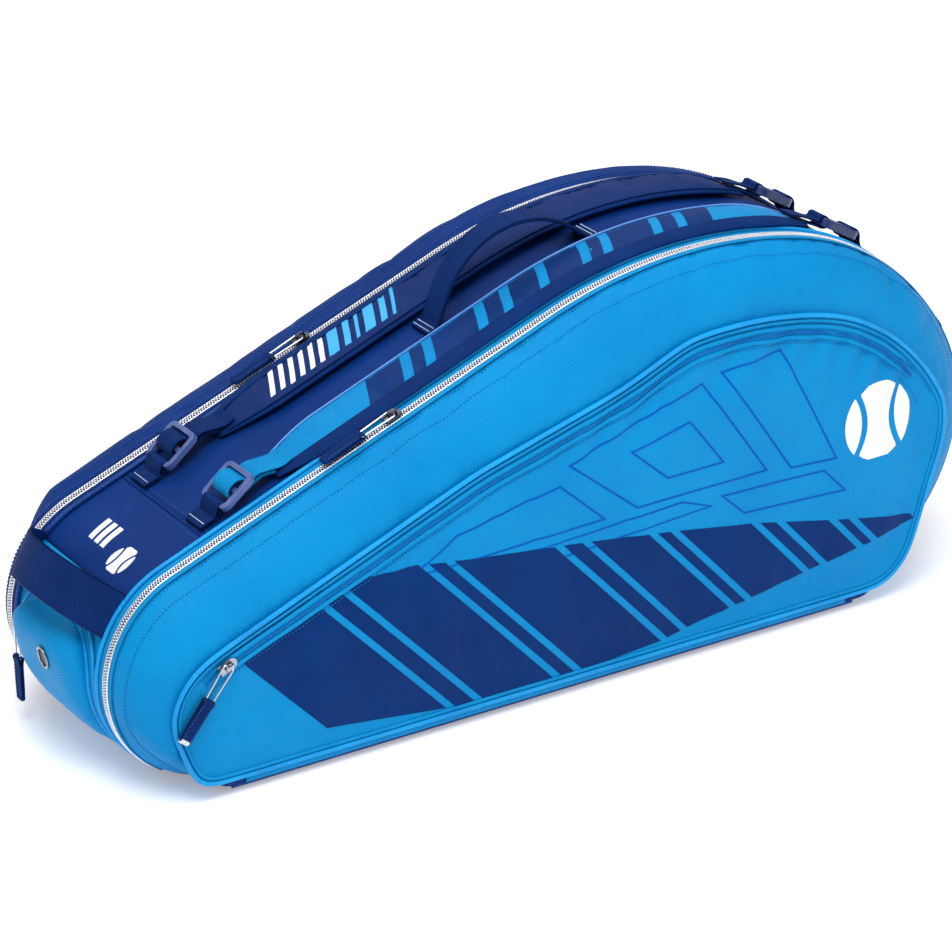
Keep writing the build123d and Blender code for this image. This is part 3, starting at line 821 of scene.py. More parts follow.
def studio():
    scene = bpy.context.scene
    target = Vector(TARGET)
    back = Vector((sin(VIEW_TURN) * cos(VIEW_RISE), -cos(VIEW_TURN) * cos(VIEW_RISE), sin(VIEW_RISE)))
    lens = bpy.data.cameras.new("view")
    lens.lens = LENS
    lens.sensor_width = 36.0
    camera = bpy.data.objects.new("view", lens)
    camera.location = target + back * VIEW_DISTANCE
    camera.rotation_mode = "QUATERNION"
    camera.rotation_quaternion = (-back).to_track_quat("-Z", "Y")
    scene.collection.objects.link(camera)
    scene.camera = camera
    scene.view_settings.view_transform = "Standard"

    floor_mat, tree, shader = material("pale_floor", 0.85)
    tone = patches(tree, surface_coords(tree)[1], 300, 0.3, 0.7, 1)
    coloured(tree, shader, tone, (0.93, 0.93, 0.94, 1), (0.90, 0.90, 0.91, 1))
    shader.inputs["Emission Color"].default_value = (1, 1, 1, 1)
    shader.inputs["Emission Strength"].default_value = 0.28
    mats["floor"] = floor_mat
    corners = [(x * FLOOR_REACH, y * FLOOR_REACH, FLOOR_Z) for x, y in ((-1, -1), (1, -1), (1, 1), (-1, 1))]
    make("floor", corners, [(0, 1, 2, 3)], "floor")

    world = bpy.data.worlds.new("studio")
    scene.world = world
    world.use_nodes = True
    sky = world.node_tree.nodes["Background"]
    sky.inputs[0].default_value = (0.95, 0.97, 1.0, 1)
    sky.inputs[1].default_value = 0.47
    for name, position, size, power in LAMPS:
        lamp = bpy.data.lights.new(name, "AREA")
        lamp.energy = power
        lamp.size = size
        holder = bpy.data.objects.new(name, lamp)
        holder.location = position
        holder.rotation_mode = "QUATERNION"
        holder.rotation_quaternion = (target - Vector(position)).to_track_quat("-Z", "Y")
        scene.collection.objects.link(holder)


studio()

# ---- Covers' and base's cloth ------------------------------------------------------------
FRONT_ROUND = 34.0          # how far in the front cover's rounding reaches
REAR_ROUND = 22.6
REAR_POWER = 3.0
COVER_CELLS = (137, 62)     # squares of cloth across and up a cover's face
WALL = 3.0                  # padded walls: the covers and the base
CLOTH = 2.4                 # the pocket and the gusset
DOME_WALL = 2.0


def front_section(count):
    """(distance out from the zip, inset) from the zip to the flat face, a quarter of an ellipse."""
    turn = np.linspace(0, pi / 2, count)
    return np.stack([COVER_DEPTH * np.sin(turn), FRONT_ROUND * (1 - np.cos(turn))], -1)


def rear_section(count):
    """The same for the fuller rear cover, which swells a little past its zip."""
    turn = np.linspace(0, pi / 2, count)
    depth = COVER_DEPTH * np.sin(turn) ** (2 / REAR_POWER)
    inset = REAR_ROUND * (1 - np.cos(turn) ** (2 / REAR_POWER))
    swell = 1.6 * np.sin(pi * depth / COVER_DEPTH)
    line = np.stack([depth, inset - swell], -1)
    return spread(line, count)


def loop_lengths(across, up):
    """Lengths round the outline for a grid's rim: bottom, head end, top, handle end."""
    low_left, high_left = length_at_end(232), length_at_end(150)
    high_right = OVER - HEAD_RADIUS * radians(115)
    low_right = OVER - HEAD_RADIUS * radians(42)
    bottom = np.linspace(LOOP + low_left, low_right, across, endpoint=False)
    right = np.linspace(low_right, high_right, up, endpoint=False)
    top = np.linspace(high_right, high_left, across, endpoint=False)
    left = np.linspace(high_left, low_left, up, endpoint=False)
    return np.concatenate([bottom, right, top, left])


# How much further in the cloth is drawn at each end: (the outline's angle in degrees, millimetres)
FRONT_DRAWN = [(-90, 0), (-78, 6), (-68, 14), (-58, 21), (-40, 26), (-20, 28), (0, 24), (15, 15), (28, 8)]
FRONT_DRAWN += [(45, 0), (190, 0), (210, 6), (235, 9), (255, 5), (270, 0)]
REAR_DRAWN = [(-90, 0), (-60, 9), (-20, 12), (10, 8), (40, 0), (112, 0), (135, 13), (170, 18), (215, 18)]
REAR_DRAWN += [(250, 8), (270, 0)]


def eased(share):
    """0 to 1 with a soft start and end."""
    share = np.clip(share, 0, 1)
    return share * share * (3 - 2 * share)


def drawn_in(lengths, depth, sign):
    """How far the cloth at these lengths, and this distance out from the zip, is drawn in."""
    angle = np.degrees(np.interp(np.mod(lengths, LOOP), TABLE_L, TABLE_A))
    steps = np.array(FRONT_DRAWN if sign < 0 else REAR_DRAWN, float)
    return np.interp(angle, steps[:, 0], steps[:, 1]) * eased((depth - 6) / 18)


def cover_skin(name, section, sign, looks):
    """A cover's outer sheet: a rim from the zip round to the face, and the face inside it."""
    across, up = COVER_CELLS
    lengths = loop_lengths(across, up)
    x, z, nx, nz = outline(lengths)
    drop = np.maximum(section[:, 1], 0)
    inset = section[:, 1:2] + drawn_in(lengths[None], section[:, 0:1], sign)
    flat = np.stack([x[None] - nx[None] * inset, z[None] - nz[None] * inset - drop[:, None]], -1)
    rim = at_y(flat, sign * (HALF_GUSSET + 0.2 + section[:, 0:1]))
    face = coons(flat[-1], across, up)
    points = np.vstack([rim.reshape(-1, 3), at_y(face, sign * FACE_Y).reshape(-1, 3)])
    count = len(lengths)
    base = len(section) * count
    faces = grid_faces(len(section), count, wrap=True)
    faces += [tuple(base + k for k in quad) for quad in grid_faces(*face.shape[:2])]
    if sign > 0:
        faces = [quad[::-1] for quad in faces]
    rim_uv = np.stack(np.broadcast_arrays(lengths[None] % LOOP, run(section)[:, None]), -1)
    skin = make(name, points, faces, looks, np.vstack([rim_uv.reshape(-1, 2), face.reshape(-1, 2)]))
    weld(skin, 0.05)
    return skin


def edge_loop(node, count):
    """The outer edge of a flat CAD panel's front face, evenly divided, as (X, Z)."""
    mesh = SEEN[node].data
    y = low(node)[1] * MM
    used = {}
    for polygon in mesh.polygons:
        if all(abs(mesh.vertices[v].co.y - y) < 1e-5 for v in polygon.vertices):
            keys = [tuple(round(c, 6) for c in mesh.vertices[v].co) for v in polygon.vertices]
            for a, b in zip(keys, keys[1:] + keys[:1]):
                used[frozenset((a, b))] = used.get(frozenset((a, b)), 0) + 1
    links = {}
    for a, b in [pair for pair, times in used.items() if times == 1 and len(pair) == 2]:
        links.setdefault(a, []).append(b)
        links.setdefault(b, []).append(a)
    start = min(links, key=lambda p: (p[2] - p[0] * 0.01))
    loop, previous = [start], None
    while len(loop) <= len(links):
        choices = [p for p in links[loop[-1]] if p != previous]
        previous = loop[-1]
        if choices[0] == start:
            break
        loop.append(choices[0])
    line = np.array([(p[0], p[2]) for p in loop + [start]]) / MM
    return spread(line, count + 1)[:-1]


def inside_loop(points, loop):
    """Which of these points lie inside the closed line."""
    x, z = points[:, 0], points[:, 1]
    within = np.zeros(len(points), bool)
    for a, b in zip(loop, np.roll(loop, -1, 0)):
        crosses = (a[1] > z) != (b[1] > z)
        at = a[0] + (z - a[1]) * (b[0] - a[0]) / (b[1] - a[1] if abs(b[1] - a[1]) > 1e-9 else 1e-9)
        within ^= crosses & (x < at)
    return within


def four_sided(line, across, up):
    """A closed line divided for coons(): bottom, right, top and left, from its lower left corner."""
    x, z = line.T
    if np.sum(x * np.roll(z, -1) - z * np.roll(x, -1)) < 0:
        line = line[::-1]
    line = np.roll(line, -int(np.argmin(line[:, 0] + line[:, 1])), 0)
    x, z = line.T
    marks = [0, *(int(np.argmax(v)) for v in (x - z, x + z, z - x)), len(line)]
    closed = np.vstack([line, line[:1]])
    sides = [closed[a : b + 1] for a, b in zip(marks, marks[1:])]
    return np.vstack([spread(side, n + 1)[:-1] for side, n in zip(sides, (across, up, across, up))])


def moved_in(loop, inset):
    """A closed line (counter-clockwise) moved inwards."""
    tangent = unit(np.roll(loop, -2, 0) - np.roll(loop, 2, 0))
    return loop + np.stack([-tangent[:, 1], tangent[:, 0]], -1) * inset


def stretch(loop, start, end):
    """The part of a closed line from nearest start to nearest end."""
    first = int(np.argmin(np.linalg.norm(loop - np.array(start), axis=1)))
    last = int(np.argmin(np.linalg.norm(loop - np.array(end), axis=1)))
    return np.roll(loop, -first, 0)[: (last - first) % len(loop) + 1]


def crown_points(section, sign, lengths, depth):
    """Points on a cover's unsimulated rounding at this distance out from the zip."""
    drop = np.interp(depth, section[:, 0], section[:, 1])
    inset = drop + drawn_in(lengths, depth, sign)
    x, z, nx, nz = outline(lengths)
    flat = np.stack([x - nx * inset, z - nz * inset - max(drop, 0)], -1)
    return at_y(flat, sign * (HALF_GUSSET + depth))


def onto(tree, points, away, lift):
    """The surface's points under these ones, seen from the direction away, lifted off it."""
    away = np.broadcast_to(unit(np.asarray(away, float)), points.shape)
    found, normals = [], []
    for point, way in zip(points, away):
        hit, normal, _, _ = tree.ray_cast(Vector(point + way * 30), Vector(-way))
        if hit is None:
            hit, normal, _, _ = tree.find_nearest(Vector(point))
        normal = normal if normal.dot(Vector(way)) > 0 else -normal
        found.append(hit + normal * lift)
        normals.append(normal)
    return np.array(found), np.array(normals)


def copied(obj, name):
    made = obj.copy()
    made.data = obj.data.copy()
    made.name = name
    bpy.context.scene.collection.objects.link(made)
    return made


def facing(obj, direction):
    """Turns an open sheet so that most of it faces this way."""
    if sum(p.normal.dot(Vector(direction)) * p.area for p in obj.data.polygons) < 0:
        obj.data.flip_normals()


ROUNDING_ROWS = 15
front_curve = front_section(ROUNDING_ROWS)
rear_curve = rear_section(ROUNDING_ROWS)
front_skin = cover_skin("front_cover", front_curve, -1, "cyan")
rear_skin = cover_skin("rear_cover", rear_curve, 1, "navy")
facing(front_skin, (0, -1, 0))
facing(rear_skin, (0, 1, 0))
BASE_EDGE = high("base_panel")[2]
front_low = cut_below(copied(front_skin, "base_front"), BASE_EDGE, keep_upper=False)
rear_low = cut_below(copied(rear_skin, "base_rear"), BASE_EDGE, keep_upper=False)
cut_below(front_skin, FOLD_Z)
cut_below(rear_skin, FOLD_Z)

# The pocket's edge, with its CAD corners smoothed and drawn in at the head end and the bottom
PANEL_POINTS = 700
pocket_loop = edge_loop("front_pocket_panel", PANEL_POINTS)
for _ in range(40):
    pocket_loop = (np.roll(pocket_loop, 1, 0) + 2 * pocket_loop + np.roll(pocket_loop, -1, 0)) / 4
pocket_loop = np.stack(
    [
        pocket_loop[:, 0] - 6 * np.clip((pocket_loop[:, 0] - 250) / 100, 0, 1),
        pocket_loop[:, 1] - 4.5 * np.clip((90 - pocket_loop[:, 1]) / 70, 0, 1),
    ],
    -1,
)

SEWN_RIM = 8.0              # the cover is held flat this far from its zip
POCKET_HEM = 4.0


def drape(points, seed):
    """Wide, soft folds of slack cloth: runs of small waves that fade in and out."""
    broad = rumple(points * np.array((1.0, 1.0, 0.55)), 70.0, seed)
    fine = rumple(points * np.array((1.0, 1.0, 0.4)), 24.0, seed + 9)
    return 1.5 * broad + 0.8 * fine * (0.5 + broad)


def cover_pins(obj, sign):
    points = vertices(obj)
    depth = sign * points[:, 1] - HALF_GUSSET
    pinned = np.where(depth < SEWN_RIM, 1.0, 0.0)
    pinned[points[:, 2] < FOLD_Z + 4] = 1.0
    return points, pinned


front_points, front_pins = cover_pins(front_skin, -1)
flat = front_points[:, [0, 2]]
on_face = front_points[:, 1] < -FACE_Y + 6
hem = nearest(flat, pocket_loop) < POCKET_HEM
front_pins[on_face & (hem | inside_loop(flat, pocket_loop))] = 1.0
rear_points, rear_pins = cover_pins(rear_skin, 1)
slider_spot = middle("front_main_slider")
for skin, points, pins, sign, seed in (
    (front_skin, front_points, front_pins, -1, 3.0),
    (rear_skin, rear_points, rear_pins, 1, 41.0),
):
    loose = 1 - pins
    depth = np.clip(sign * points[:, 1] - HALF_GUSSET, 0, COVER_DEPTH)
    lift = drape(points, seed) * loose * np.clip(depth / 20, 0, 1)
    if sign < 0:
        # Short waves in the slack cloth beside the front slider
        near_slider = np.exp(-(((points[:, 0] - slider_spot[0] - 15) / 60) ** 2))
        waves = np.sin((points[:, 0] + 0.35 * points[:, 2]) / 9.5)
        lift += 2.0 * waves * near_slider * loose * np.clip((depth - 8) / 18, 0, 1)
    points = points.copy()
    points[:, 1] += sign * lift
    points[:, 2] += lift * (1 - depth / COVER_DEPTH) * loose
    set_vertices(skin, points)

# ---- End pocket's dome -------------------------------------------------------------------
DOME_HALF = high("end_pocket_flap")[1]
DOME_LOW = length_at_end(236)
DOME_TOP = length_at_end(158)
# How far the dome stands out: (angle on the handle end's arc in degrees, millimetres)
DOME_RISE = [(236, 0.5), (225, 6), (211, 10.5), (184, 16.5), (170, 21.0), (164, 18), (158, 2.5)]
DOME_CORNER = 34.0
DOME_CELLS = (44, 40)


def arch(margin, count):
    """The dome's footprint on the handle end as (Y, length round the outline)."""
    half, top = DOME_HALF + margin, DOME_TOP + margin
    corner = DOME_CORNER + margin
    left = [(-half, DOME_LOW), (-half, top - corner)]
    turn = [(-half + corner * (1 - cos(a)), top - corner * (1 - sin(a))) for a in np.linspace(0, pi / 2, 12)]
    right = [(-y, l) for y, l in (left + turn)[::-1]]
    return spread(np.array(left + turn + right), count)


def dome_grid():
    """The dome's cloth: its footprint on the handle end, raised by DOME_RISE."""
    across, up = DOME_CELLS
    rim = arch(0, 400)
    closed = np.vstack([rim[::-1], spread(np.array([rim[0], rim[-1]]), 200)[1:-1]])
    line = four_sided(closed, across, up)
    grid = coons(line, across, up)
    y, length = grid[..., 0], grid[..., 1]
    angle = np.degrees(1.5 * pi - length / END_RADIUS)
    steps = np.array(DOME_RISE[::-1])
    rise = np.interp(angle, steps[:, 0], steps[:, 1])
    s = np.linspace(-1, 1, across + 1)[None, :]
    t = np.linspace(-1, 1, up + 1)[:, None]
    side = np.sqrt(np.clip(1 - np.abs(s) ** 5, 0, 1))
    top = np.sqrt(np.clip(1 - np.clip(t, 0, 1) ** 9, 0, 1))
    height = place(length, y, np.zeros_like(y))[..., 2]
    slack = 1 - 0.45 * np.clip((105 - height) / 85, 0, 1)
    out = 0.8 + rise * side * top * slack
    return place(length, y, out)


dome = from_grid("end_pocket_dome", dome_grid(), "cyan")
facing(dome, (-1, 0, 0))
dome_points = vertices(dome)
rim_line = place(arch(0, 400)[:, 1], arch(0, 400)[:, 0], 0.8)
dome_pins = np.where(nearest(dome_points, rim_line) < 3.5, 1.0, 0.0)
dome_pins[dome_points[:, 2] < high("base_panel")[2] + 8] = 1.0

# ---- Shoulder straps' padded bodies ------------------------------------------------------
STRAP_THICKNESS = 8.8
STRAP_LIFT = 0.9
STRAP_NECK = 13.0
STRAP_TAPER = 58.0


class Strap:
    """One shoulder strap's plan: its middle line, and its half width and thickness along it."""

    def __init__(self, prefix, sign, colour):
        self.prefix, self.sign, self.colour = prefix, sign, colour
        lo, hi = low(prefix + "_strap_binding"), high(prefix + "_strap_binding")
        self.start, self.end = length_at_x(lo[0]), length_at_x(hi[0])
        self.middle = (lo[1] + hi[1]) / 2
        self.half = (hi[1] - lo[1]) / 2
        self.body = prefix + "_strap"

    def size(self, lengths):
        reach = np.minimum(lengths - self.start, self.end - lengths) / STRAP_TAPER
        swell = np.sin(np.clip(reach, 0, 1) * pi / 2)
        half = STRAP_NECK + (self.half - STRAP_NECK) * swell
        thick = STRAP_THICKNESS * (0.45 + 0.55 * swell)
        return half, thick

    def rings(self, angles, grow=0.0, count=150, start=0.0, end=0.0):
        """Cross-sections along the strap, at these angles from its -Y edge over the top."""
        lengths = np.linspace(self.start + start, self.end - end, count)
        half, thick = self.size(lengths)
        across = -np.sign(np.cos(angles)) * np.abs(np.cos(angles)) ** 0.9
        height = np.sign(np.sin(angles)) * np.abs(np.sin(angles)) ** 1.1
        y = self.middle + across[None] * (half[:, None] + grow)
        out = STRAP_LIFT + thick[:, None] / 2 + height[None] * (thick[:, None] / 2 + grow)
        return place(np.broadcast_to(lengths[:, None], y.shape), y, out)


straps = [Strap(*side) for side in SIDES]
strap_objects = []
for strap in straps:
    angles = np.linspace(0, 2 * pi, 30, endpoint=False)
    looks = "cyan" if strap.sign < 0 else "strap_navy"
    body = from_rings(strap.prefix + "_strap_pad", strap.rings(angles, grow=-0.6, start=1, end=1), looks)
    points = vertices(body)
    lift = 0.5 * rumple(points, 32.0, 5.0 + strap.sign)
    lift += 0.35 * np.sin(points[:, 0] / 13) * rumple(points, 50.0, 2)
    points[:, 2] += lift * (points[:, 2] > 0)
    set_vertices(body, points)
    strap_objects.append(body)


def strap_pins(strap, obj):
    points = vertices(obj)
    edge = np.abs(points[:, 1] - strap.middle) / strap.half
    pinned = np.where(edge > 0.72, 1.0, 0.0)
    lengths = length_at_x(points[:, 0])
    pinned[(lengths < strap.start + 25) | (lengths > strap.end - 25)] = 1.0
    return pinned


inflate(
    [
        (front_skin, front_pins, 3.0, 0.006, 6.0),
        (rear_skin, rear_pins, 3.0, 0.006, 6.0),
        (dome, dome_pins, 3.0, 0.012, 4.0),
        *((pad, strap_pins(strap, pad), 3.0, 0.01, 3.0) for strap, pad in zip(straps, strap_objects)),
    ]
)
front_tree, rear_tree, dome_tree = bvh(front_skin), bvh(rear_skin), bvh(dome)

# ---- Front pocket ------------------------------------------------------------------------
POCKET_ACROSS, POCKET_UP = 168, 70
DENSE = (400, 150)          # points across and up for distances to the pocket's edge
POCKET_LIFT = 1.6
POCKET_SWELL = 3.4
PULL_ROOM = 26.0            # the pocket stays flat this far from its pull tab's travel
joints = {joint["name"]: joint for joint in frame["joints"]}
pocket_line = four_sided(pocket_loop, POCKET_ACROSS, POCKET_UP)
pocket_dense = four_sided(pocket_loop, *DENSE)


def under_pull(points):
    """How far each (X, Z) point is from where the pocket's pull tab travels with its slider."""
    slide = joints["pocket_slider_slide"]
    travel = np.array((slide["axis"][0], slide["axis"][2])) * slide["range_m"][1] / MM
    steps = np.linspace(0, 1, 16)[:, None]
    return nearest(points, middle("pocket_pull_tab")[[0, 2]] + steps * travel)


def pocket_grid():
    grid = coons(pocket_line, POCKET_ACROSS, POCKET_UP)
    x, z = grid[..., 0], grid[..., 1]
    level = -FACE_Y - POCKET_LIFT
    gap = nearest(grid.reshape(-1, 2), pocket_dense).reshape(x.shape)
    swell = POCKET_SWELL * np.sqrt(np.clip(gap / 60, 0, 1))
    rim = 1 - np.clip(gap / 16, 0, 1)
    # Gathers: the slack cloth puckers away from the zip along the pocket's upper edge
    upper = np.clip((z - 150) / 60, 0, 1) * np.clip((x + 60) / 120, 0, 1)
    ruffle = np.sin((x - 0.9 * z) / 6.4 + 2.2 * np.sin(x / 41)) * np.exp(-((gap - 24) / 26) ** 2)
    slack = 0.5 * np.sin((x + 0.8 * z) / 15 + 1.5 * np.sin(z / 37)) * np.exp(-((gap - 30) / 45) ** 2)
    soft = drape(at_y(grid, 0.0).reshape(-1, 3), 17.0).reshape(x.shape)
    lift = swell + (1.5 * upper * ruffle + slack * 0.8 + 0.8 * soft) * (1 - rim)
    lift *= 0.3 + 0.7 * eased((under_pull(grid.reshape(-1, 2)) - PULL_ROOM) / 22).reshape(x.shape)
    return at_y(grid, level - lift)


pocket_skin = from_grid("front_pocket", pocket_grid(), "cyan")
facing(pocket_skin, (0, -1, 0))
pocket_points = vertices(pocket_skin)
pocket_gap = nearest(pocket_points[:, [0, 2]], pocket_dense)
pocket_pins = (pocket_gap < 19) | (under_pull(pocket_points[:, [0, 2]]) < PULL_ROOM)
inflate([(pocket_skin, np.where(pocket_pins, 1.0, 0.0), 2.0, 0.006, 5.0)])
pocket_tree = bvh(pocket_skin)
FORWARD = (0.0, -1.0, 0.0)


def on_pocket(line, lift):
    return onto(pocket_tree, at_y(line, -FACE_Y - 6), FORWARD, lift)


# Pocket piping: a corded edge with a flat sewn flange inside it
FLANGE_INSET = 4.3
edge_points = at_y(pocket_dense, -FACE_Y - POCKET_LIFT - 0.6)
piping = swept("front_pocket_piping", edge_points, FORWARD, circle(2.0, 12), "cyan_piping", loop=True)
finished(piping, "front_cover", "front_pocket_piping", slot="cyan_piping")
flange_points, _ = on_pocket(moved_in(pocket_dense, FLANGE_INSET), 0.3)
flange_profile = flat_profile(3.2, 0.9, 0.5)
flange = swept("front_pocket_flange", flange_points, FORWARD, flange_profile, "cyan_tape", loop=True)
finished(flange, "front_cover")

# Pocket zip: its coil between two folded lips, along the upper edge
ZIP_START, ZIP_END = (338.0, 212.0), (-330.0, 104.0)
ZIP_INSET = 13.0            # the zip's middle, in from the pocket's edge
LIP = 4.2                   # width of the cloth fold on each side of it
POCKET_STITCHES = (7.4, 21.5)


ZIP_POINTS = 420


def zip_run(inset):
    return spread(stretch(moved_in(pocket_dense, inset), ZIP_START, ZIP_END), ZIP_POINTS)


zip_parts = []
from_ends = np.minimum(np.arange(ZIP_POINTS), np.arange(ZIP_POINTS)[::-1])
taper = np.clip(from_ends / 16, 0.1, 1)[:, None, None]
lip, tape = (LIP, "cyan", 0.5, 1.5), (5.0, "cyan_tape", 0.15, 0.1)
for inset, (width, looks, lift, rise) in ((ZIP_INSET - LIP, lip), (ZIP_INSET + LIP, lip), (ZIP_INSET, tape)):
    points, normals = on_pocket(zip_run(inset), lift)
    zip_parts.append(swept("lip", points, normals, flat_profile(width, 0.8, rise) * taper, looks))
finished(join("front_pocket_zip", zip_parts), "front_cover", "front_pocket_zip", slot="cyan_zip_tape")


coil_points, coil_normals = on_pocket(zip_run(ZIP_INSET), 0.9)
coil = bars("front_pocket_coil", coil_points, coil_normals, tooth(2.4, 0.9, 0.8), 1.5, "coil")
finished(coil, "front_cover")
for inset in POCKET_STITCHES:
    upper = stretch(moved_in(pocket_dense, inset), (346, 180), (-330, 100))
    points, normals = on_pocket(upper, STITCH_LIFT)
    stitches("pocket_stitches_%d" % inset, points, normals, "thread_cyan", "front_cover", pitch=3.0)


# ---- Generic prints on the pocket --------------------------------------------------------
PRINT_TOP = np.array([(-300, 128), (-238, 146), (-178, 152), (8, 130), (145, 110), (338, 69)], float)
PRINT_LOW = np.array([(-300, 66), (-226, 34), (-70, 14), (60, 20), (200, 46), (338, 69)], float)
PRINT_LEAN = -0.95          # X for each millimetre up
PRINT_GAP = 7.5


def slanted_end(x, edge):
    """Where a leaning line, at x when 70 mm up, meets a printed edge."""
    z = np.linspace(5, 165, 641)
    line = x + PRINT_LEAN * (z - 70)
    gap = z - np.interp(line, edge[:, 0], edge[:, 1])
    at = int(np.argmin(np.abs(gap)))
    return line[at], z[at]


def block_row():
    """Blocks and slim bars that lean one way, drawn out to a point towards the head end."""
    pieces, x = [], -258.0
    for width in (92, 17, 64, 12, 78, 15, 46, 10, 58, 12, 34, 9, 46):
        low_edge = [slanted_end(x, PRINT_LOW), slanted_end(x + width, PRINT_LOW)]
        pieces.append(low_edge + [slanted_end(x + width, PRINT_TOP), slanted_end(x, PRINT_TOP)])
        x += width + PRINT_GAP
    return pieces


stencil("pocket_print", pocket_skin, block_row(), (0, 2), "ink_navy", "front_cover")


def outlined(corners, width):
    """The four-sided strips that draw a shape's outline."""
    corners = np.asarray(corners, float)
    centre = corners.mean(0)
    count = len(corners)
    outer, inner = [], []
    for k in range(count):
        a, b, c = corners[k - 1], corners[k], corners[(k + 1) % count]
        into, out = unit(b - a), unit(c - b)
        mitre = unit(np.array((into[1] + out[1], -into[0] - out[0])))
        reach = width / 2 / max(0.35, abs(mitre @ np.array((into[1], -into[0]))))
        if mitre @ (b - centre) < 0:
            mitre = -mitre
        outer.append(b + mitre * reach)
        inner.append(b - mitre * reach)
    return [[outer[k - 1], outer[k], inner[k], inner[k - 1]] for k in [*range(1, count), 0]]


line_art = []
for corners in (
    [(-150, 140), (20, 146), (-20, 182), (-110, 164)],
    [(50, 148), (172, 150), (110, 236), (-10, 196)],
    [(78, 166), (130, 167), (98, 208), (46, 194)],
    [(196, 146), (240, 144), (186, 246), (130, 240)],
    [(152, 118), (250, 114), (228, 136), (130, 138)],
    [(-40, 122), (120, 132), (92, 142), (-66, 134)],
):
    line_art += outlined(corners, 1.5)
stencil("pocket_line_print", pocket_skin, line_art, (0, 2), "ink_blue", "front_cover", thickness=0.2)


SEAM_GAP = 0.09


def ball_mark(centre, radius, rows=26):
    """A plain ball seen from the side: a disc split by two curved seams."""
    pieces = []
    edges = np.linspace(-1, 1, rows + 1)
    for a, b in zip(edges, edges[1:]):
        rims = [max(1 - v * v, 0) ** 0.5 for v in (a, b)]
        seams = [min(0.42 + 0.42 * v * v, rim) for v, rim in zip((a, b), rims)]
        lines = [[-rim for rim in rims]]
        lines += [[gap - seam for seam in seams] for gap in (-SEAM_GAP, SEAM_GAP)]
        lines += [[-x for x in line] for line in lines[::-1]]
        for left, right in zip(lines[::2], lines[1::2]):
            if min(right[0] - left[0], right[1] - left[1]) < 0.01:
                continue
            corners = np.array([(left[0], a), (right[0], a), (right[1], b), (left[1], b)])
            pieces.append(corners * radius + centre)
    return pieces


stencil("pocket_ball_mark", pocket_skin, ball_mark((282, 166), 34), (0, 2), "ink_white", "front_cover")
pocket_panel = thicken(pocket_skin, CLOTH)
finished(pocket_panel, "front_cover", "front_pocket_panel", slot="cyan_fabric")

# ---- Covers' walls and stitch lines ------------------------------------------------------
COVER_STITCHES = (9.5, 21.0)         # distances out from the zip
for (prefix, sign, colour), skin, tree, curve in zip(
    SIDES, (front_skin, rear_skin), (front_tree, rear_tree), (front_curve, rear_curve)
):
    body, thread = prefix + "_cover", "thread_" + colour
    for depth in COVER_STITCHES:
        lengths = np.linspace(20, OVER - 20, 700)
        points = crown_points(curve, sign, lengths, depth)
        away = outward(lengths) + np.array((0, sign * depth / COVER_DEPTH, 0))
        points, normals = onto(tree, points, away, STITCH_LIFT)
        keep = points[:, 2] > FOLD_Z + 5
        stitches("%s_stitches_%d" % (body, depth), points[keep], normals[keep], thread, body)
    if sign > 0:
        # The rear face's own seam, a long panel inside its rounding
        seam = moved_in(four_sided(edge_loop("front_pocket_panel", PANEL_POINTS), *DENSE), 16)
        points, normals = onto(tree, at_y(seam, FACE_Y), (0, 1, 0), STITCH_LIFT)
        stitches("rear_face_stitches", points, normals, thread, body)
    thicken(skin, WALL, inner="lining")
    finished(skin, body, body + "_shell", slot=colour + "_fabric")

# ---- Gusset ------------------------------------------------------------------------------
GUSSET_ROWS = 46
GUSSET_TOP = HALF_GUSSET - 0.4
seam_l = length_at_x(high("handle_end_gusset_panel")[0])
head_seam_l = length_at_x(high("top_gusset_panel")[0])
base_start, base_end = lengths_at_z(BASE_EDGE)
loop_l = length_at_end(136)
GUSSET_SAG = 0.7
SEAM_REACH = 63.0
GUSSET_MIDDLE_Z = 150        # a height inside the bag, to tell its cloth's outside


def gusset_out(y):
    """How far out of the outline the gusset's cloth lies at this Y."""
    return -0.2 - GUSSET_SAG * (1 - (y / GUSSET_TOP) ** 4)


def gusset_panel(name, start, end, looks, seed):
    count = max(8, int((end - start) / 4))
    lengths = np.linspace(start, end, count)
    y = np.linspace(-GUSSET_TOP, GUSSET_TOP, GUSSET_ROWS)
    l_grid, y_grid = np.meshgrid(lengths, y, indexing="ij")
    spots = place(l_grid, y_grid, 0.0)
    slack = 1 - (y_grid / GUSSET_TOP) ** 4
    noise_map = rumple(spots.reshape(-1, 3), 38.0, seed).reshape(l_grid.shape)
    out = gusset_out(y_grid) + 0.5 * slack * noise_map
    skin = from_grid(name, place(l_grid, y_grid, out), looks)

    def turn_out(work):
        for face in work.faces:
            centre = face.calc_center_median() / MM
            if face.normal.dot(Vector((centre.x, 0, centre.z - GUSSET_MIDDLE_Z))) < 0:
                face.normal_flip()

    edit(skin, turn_out)
    return thicken(skin, CLOTH, inner="lining")


panels = [gusset_panel("lower", base_start, loop_l, "cyan", 3)]
panels.append(gusset_panel("upper", loop_l, seam_l, "navy", 3))
finished(join("handle_end_gusset", panels), "bag", "handle_end_gusset_panel", slot="navy_fabric")
for name, start, end, seed in (("top", seam_l, head_seam_l, 8), ("head_end", head_seam_l, base_end, 12)):
    panel = gusset_panel(name + "_gusset", start, end, "navy", seed)
    finished(panel, "bag", name + "_gusset_panel", slot="navy_fabric")


def across_line(length, count=60):
    """A line across the gusset, just off its cloth, and the outward direction there."""
    y = np.linspace(-SEAM_REACH, SEAM_REACH, count)
    return place(np.full(count, length), y, gusset_out(y) + 0.3), np.repeat(outward([length]), count, 0)


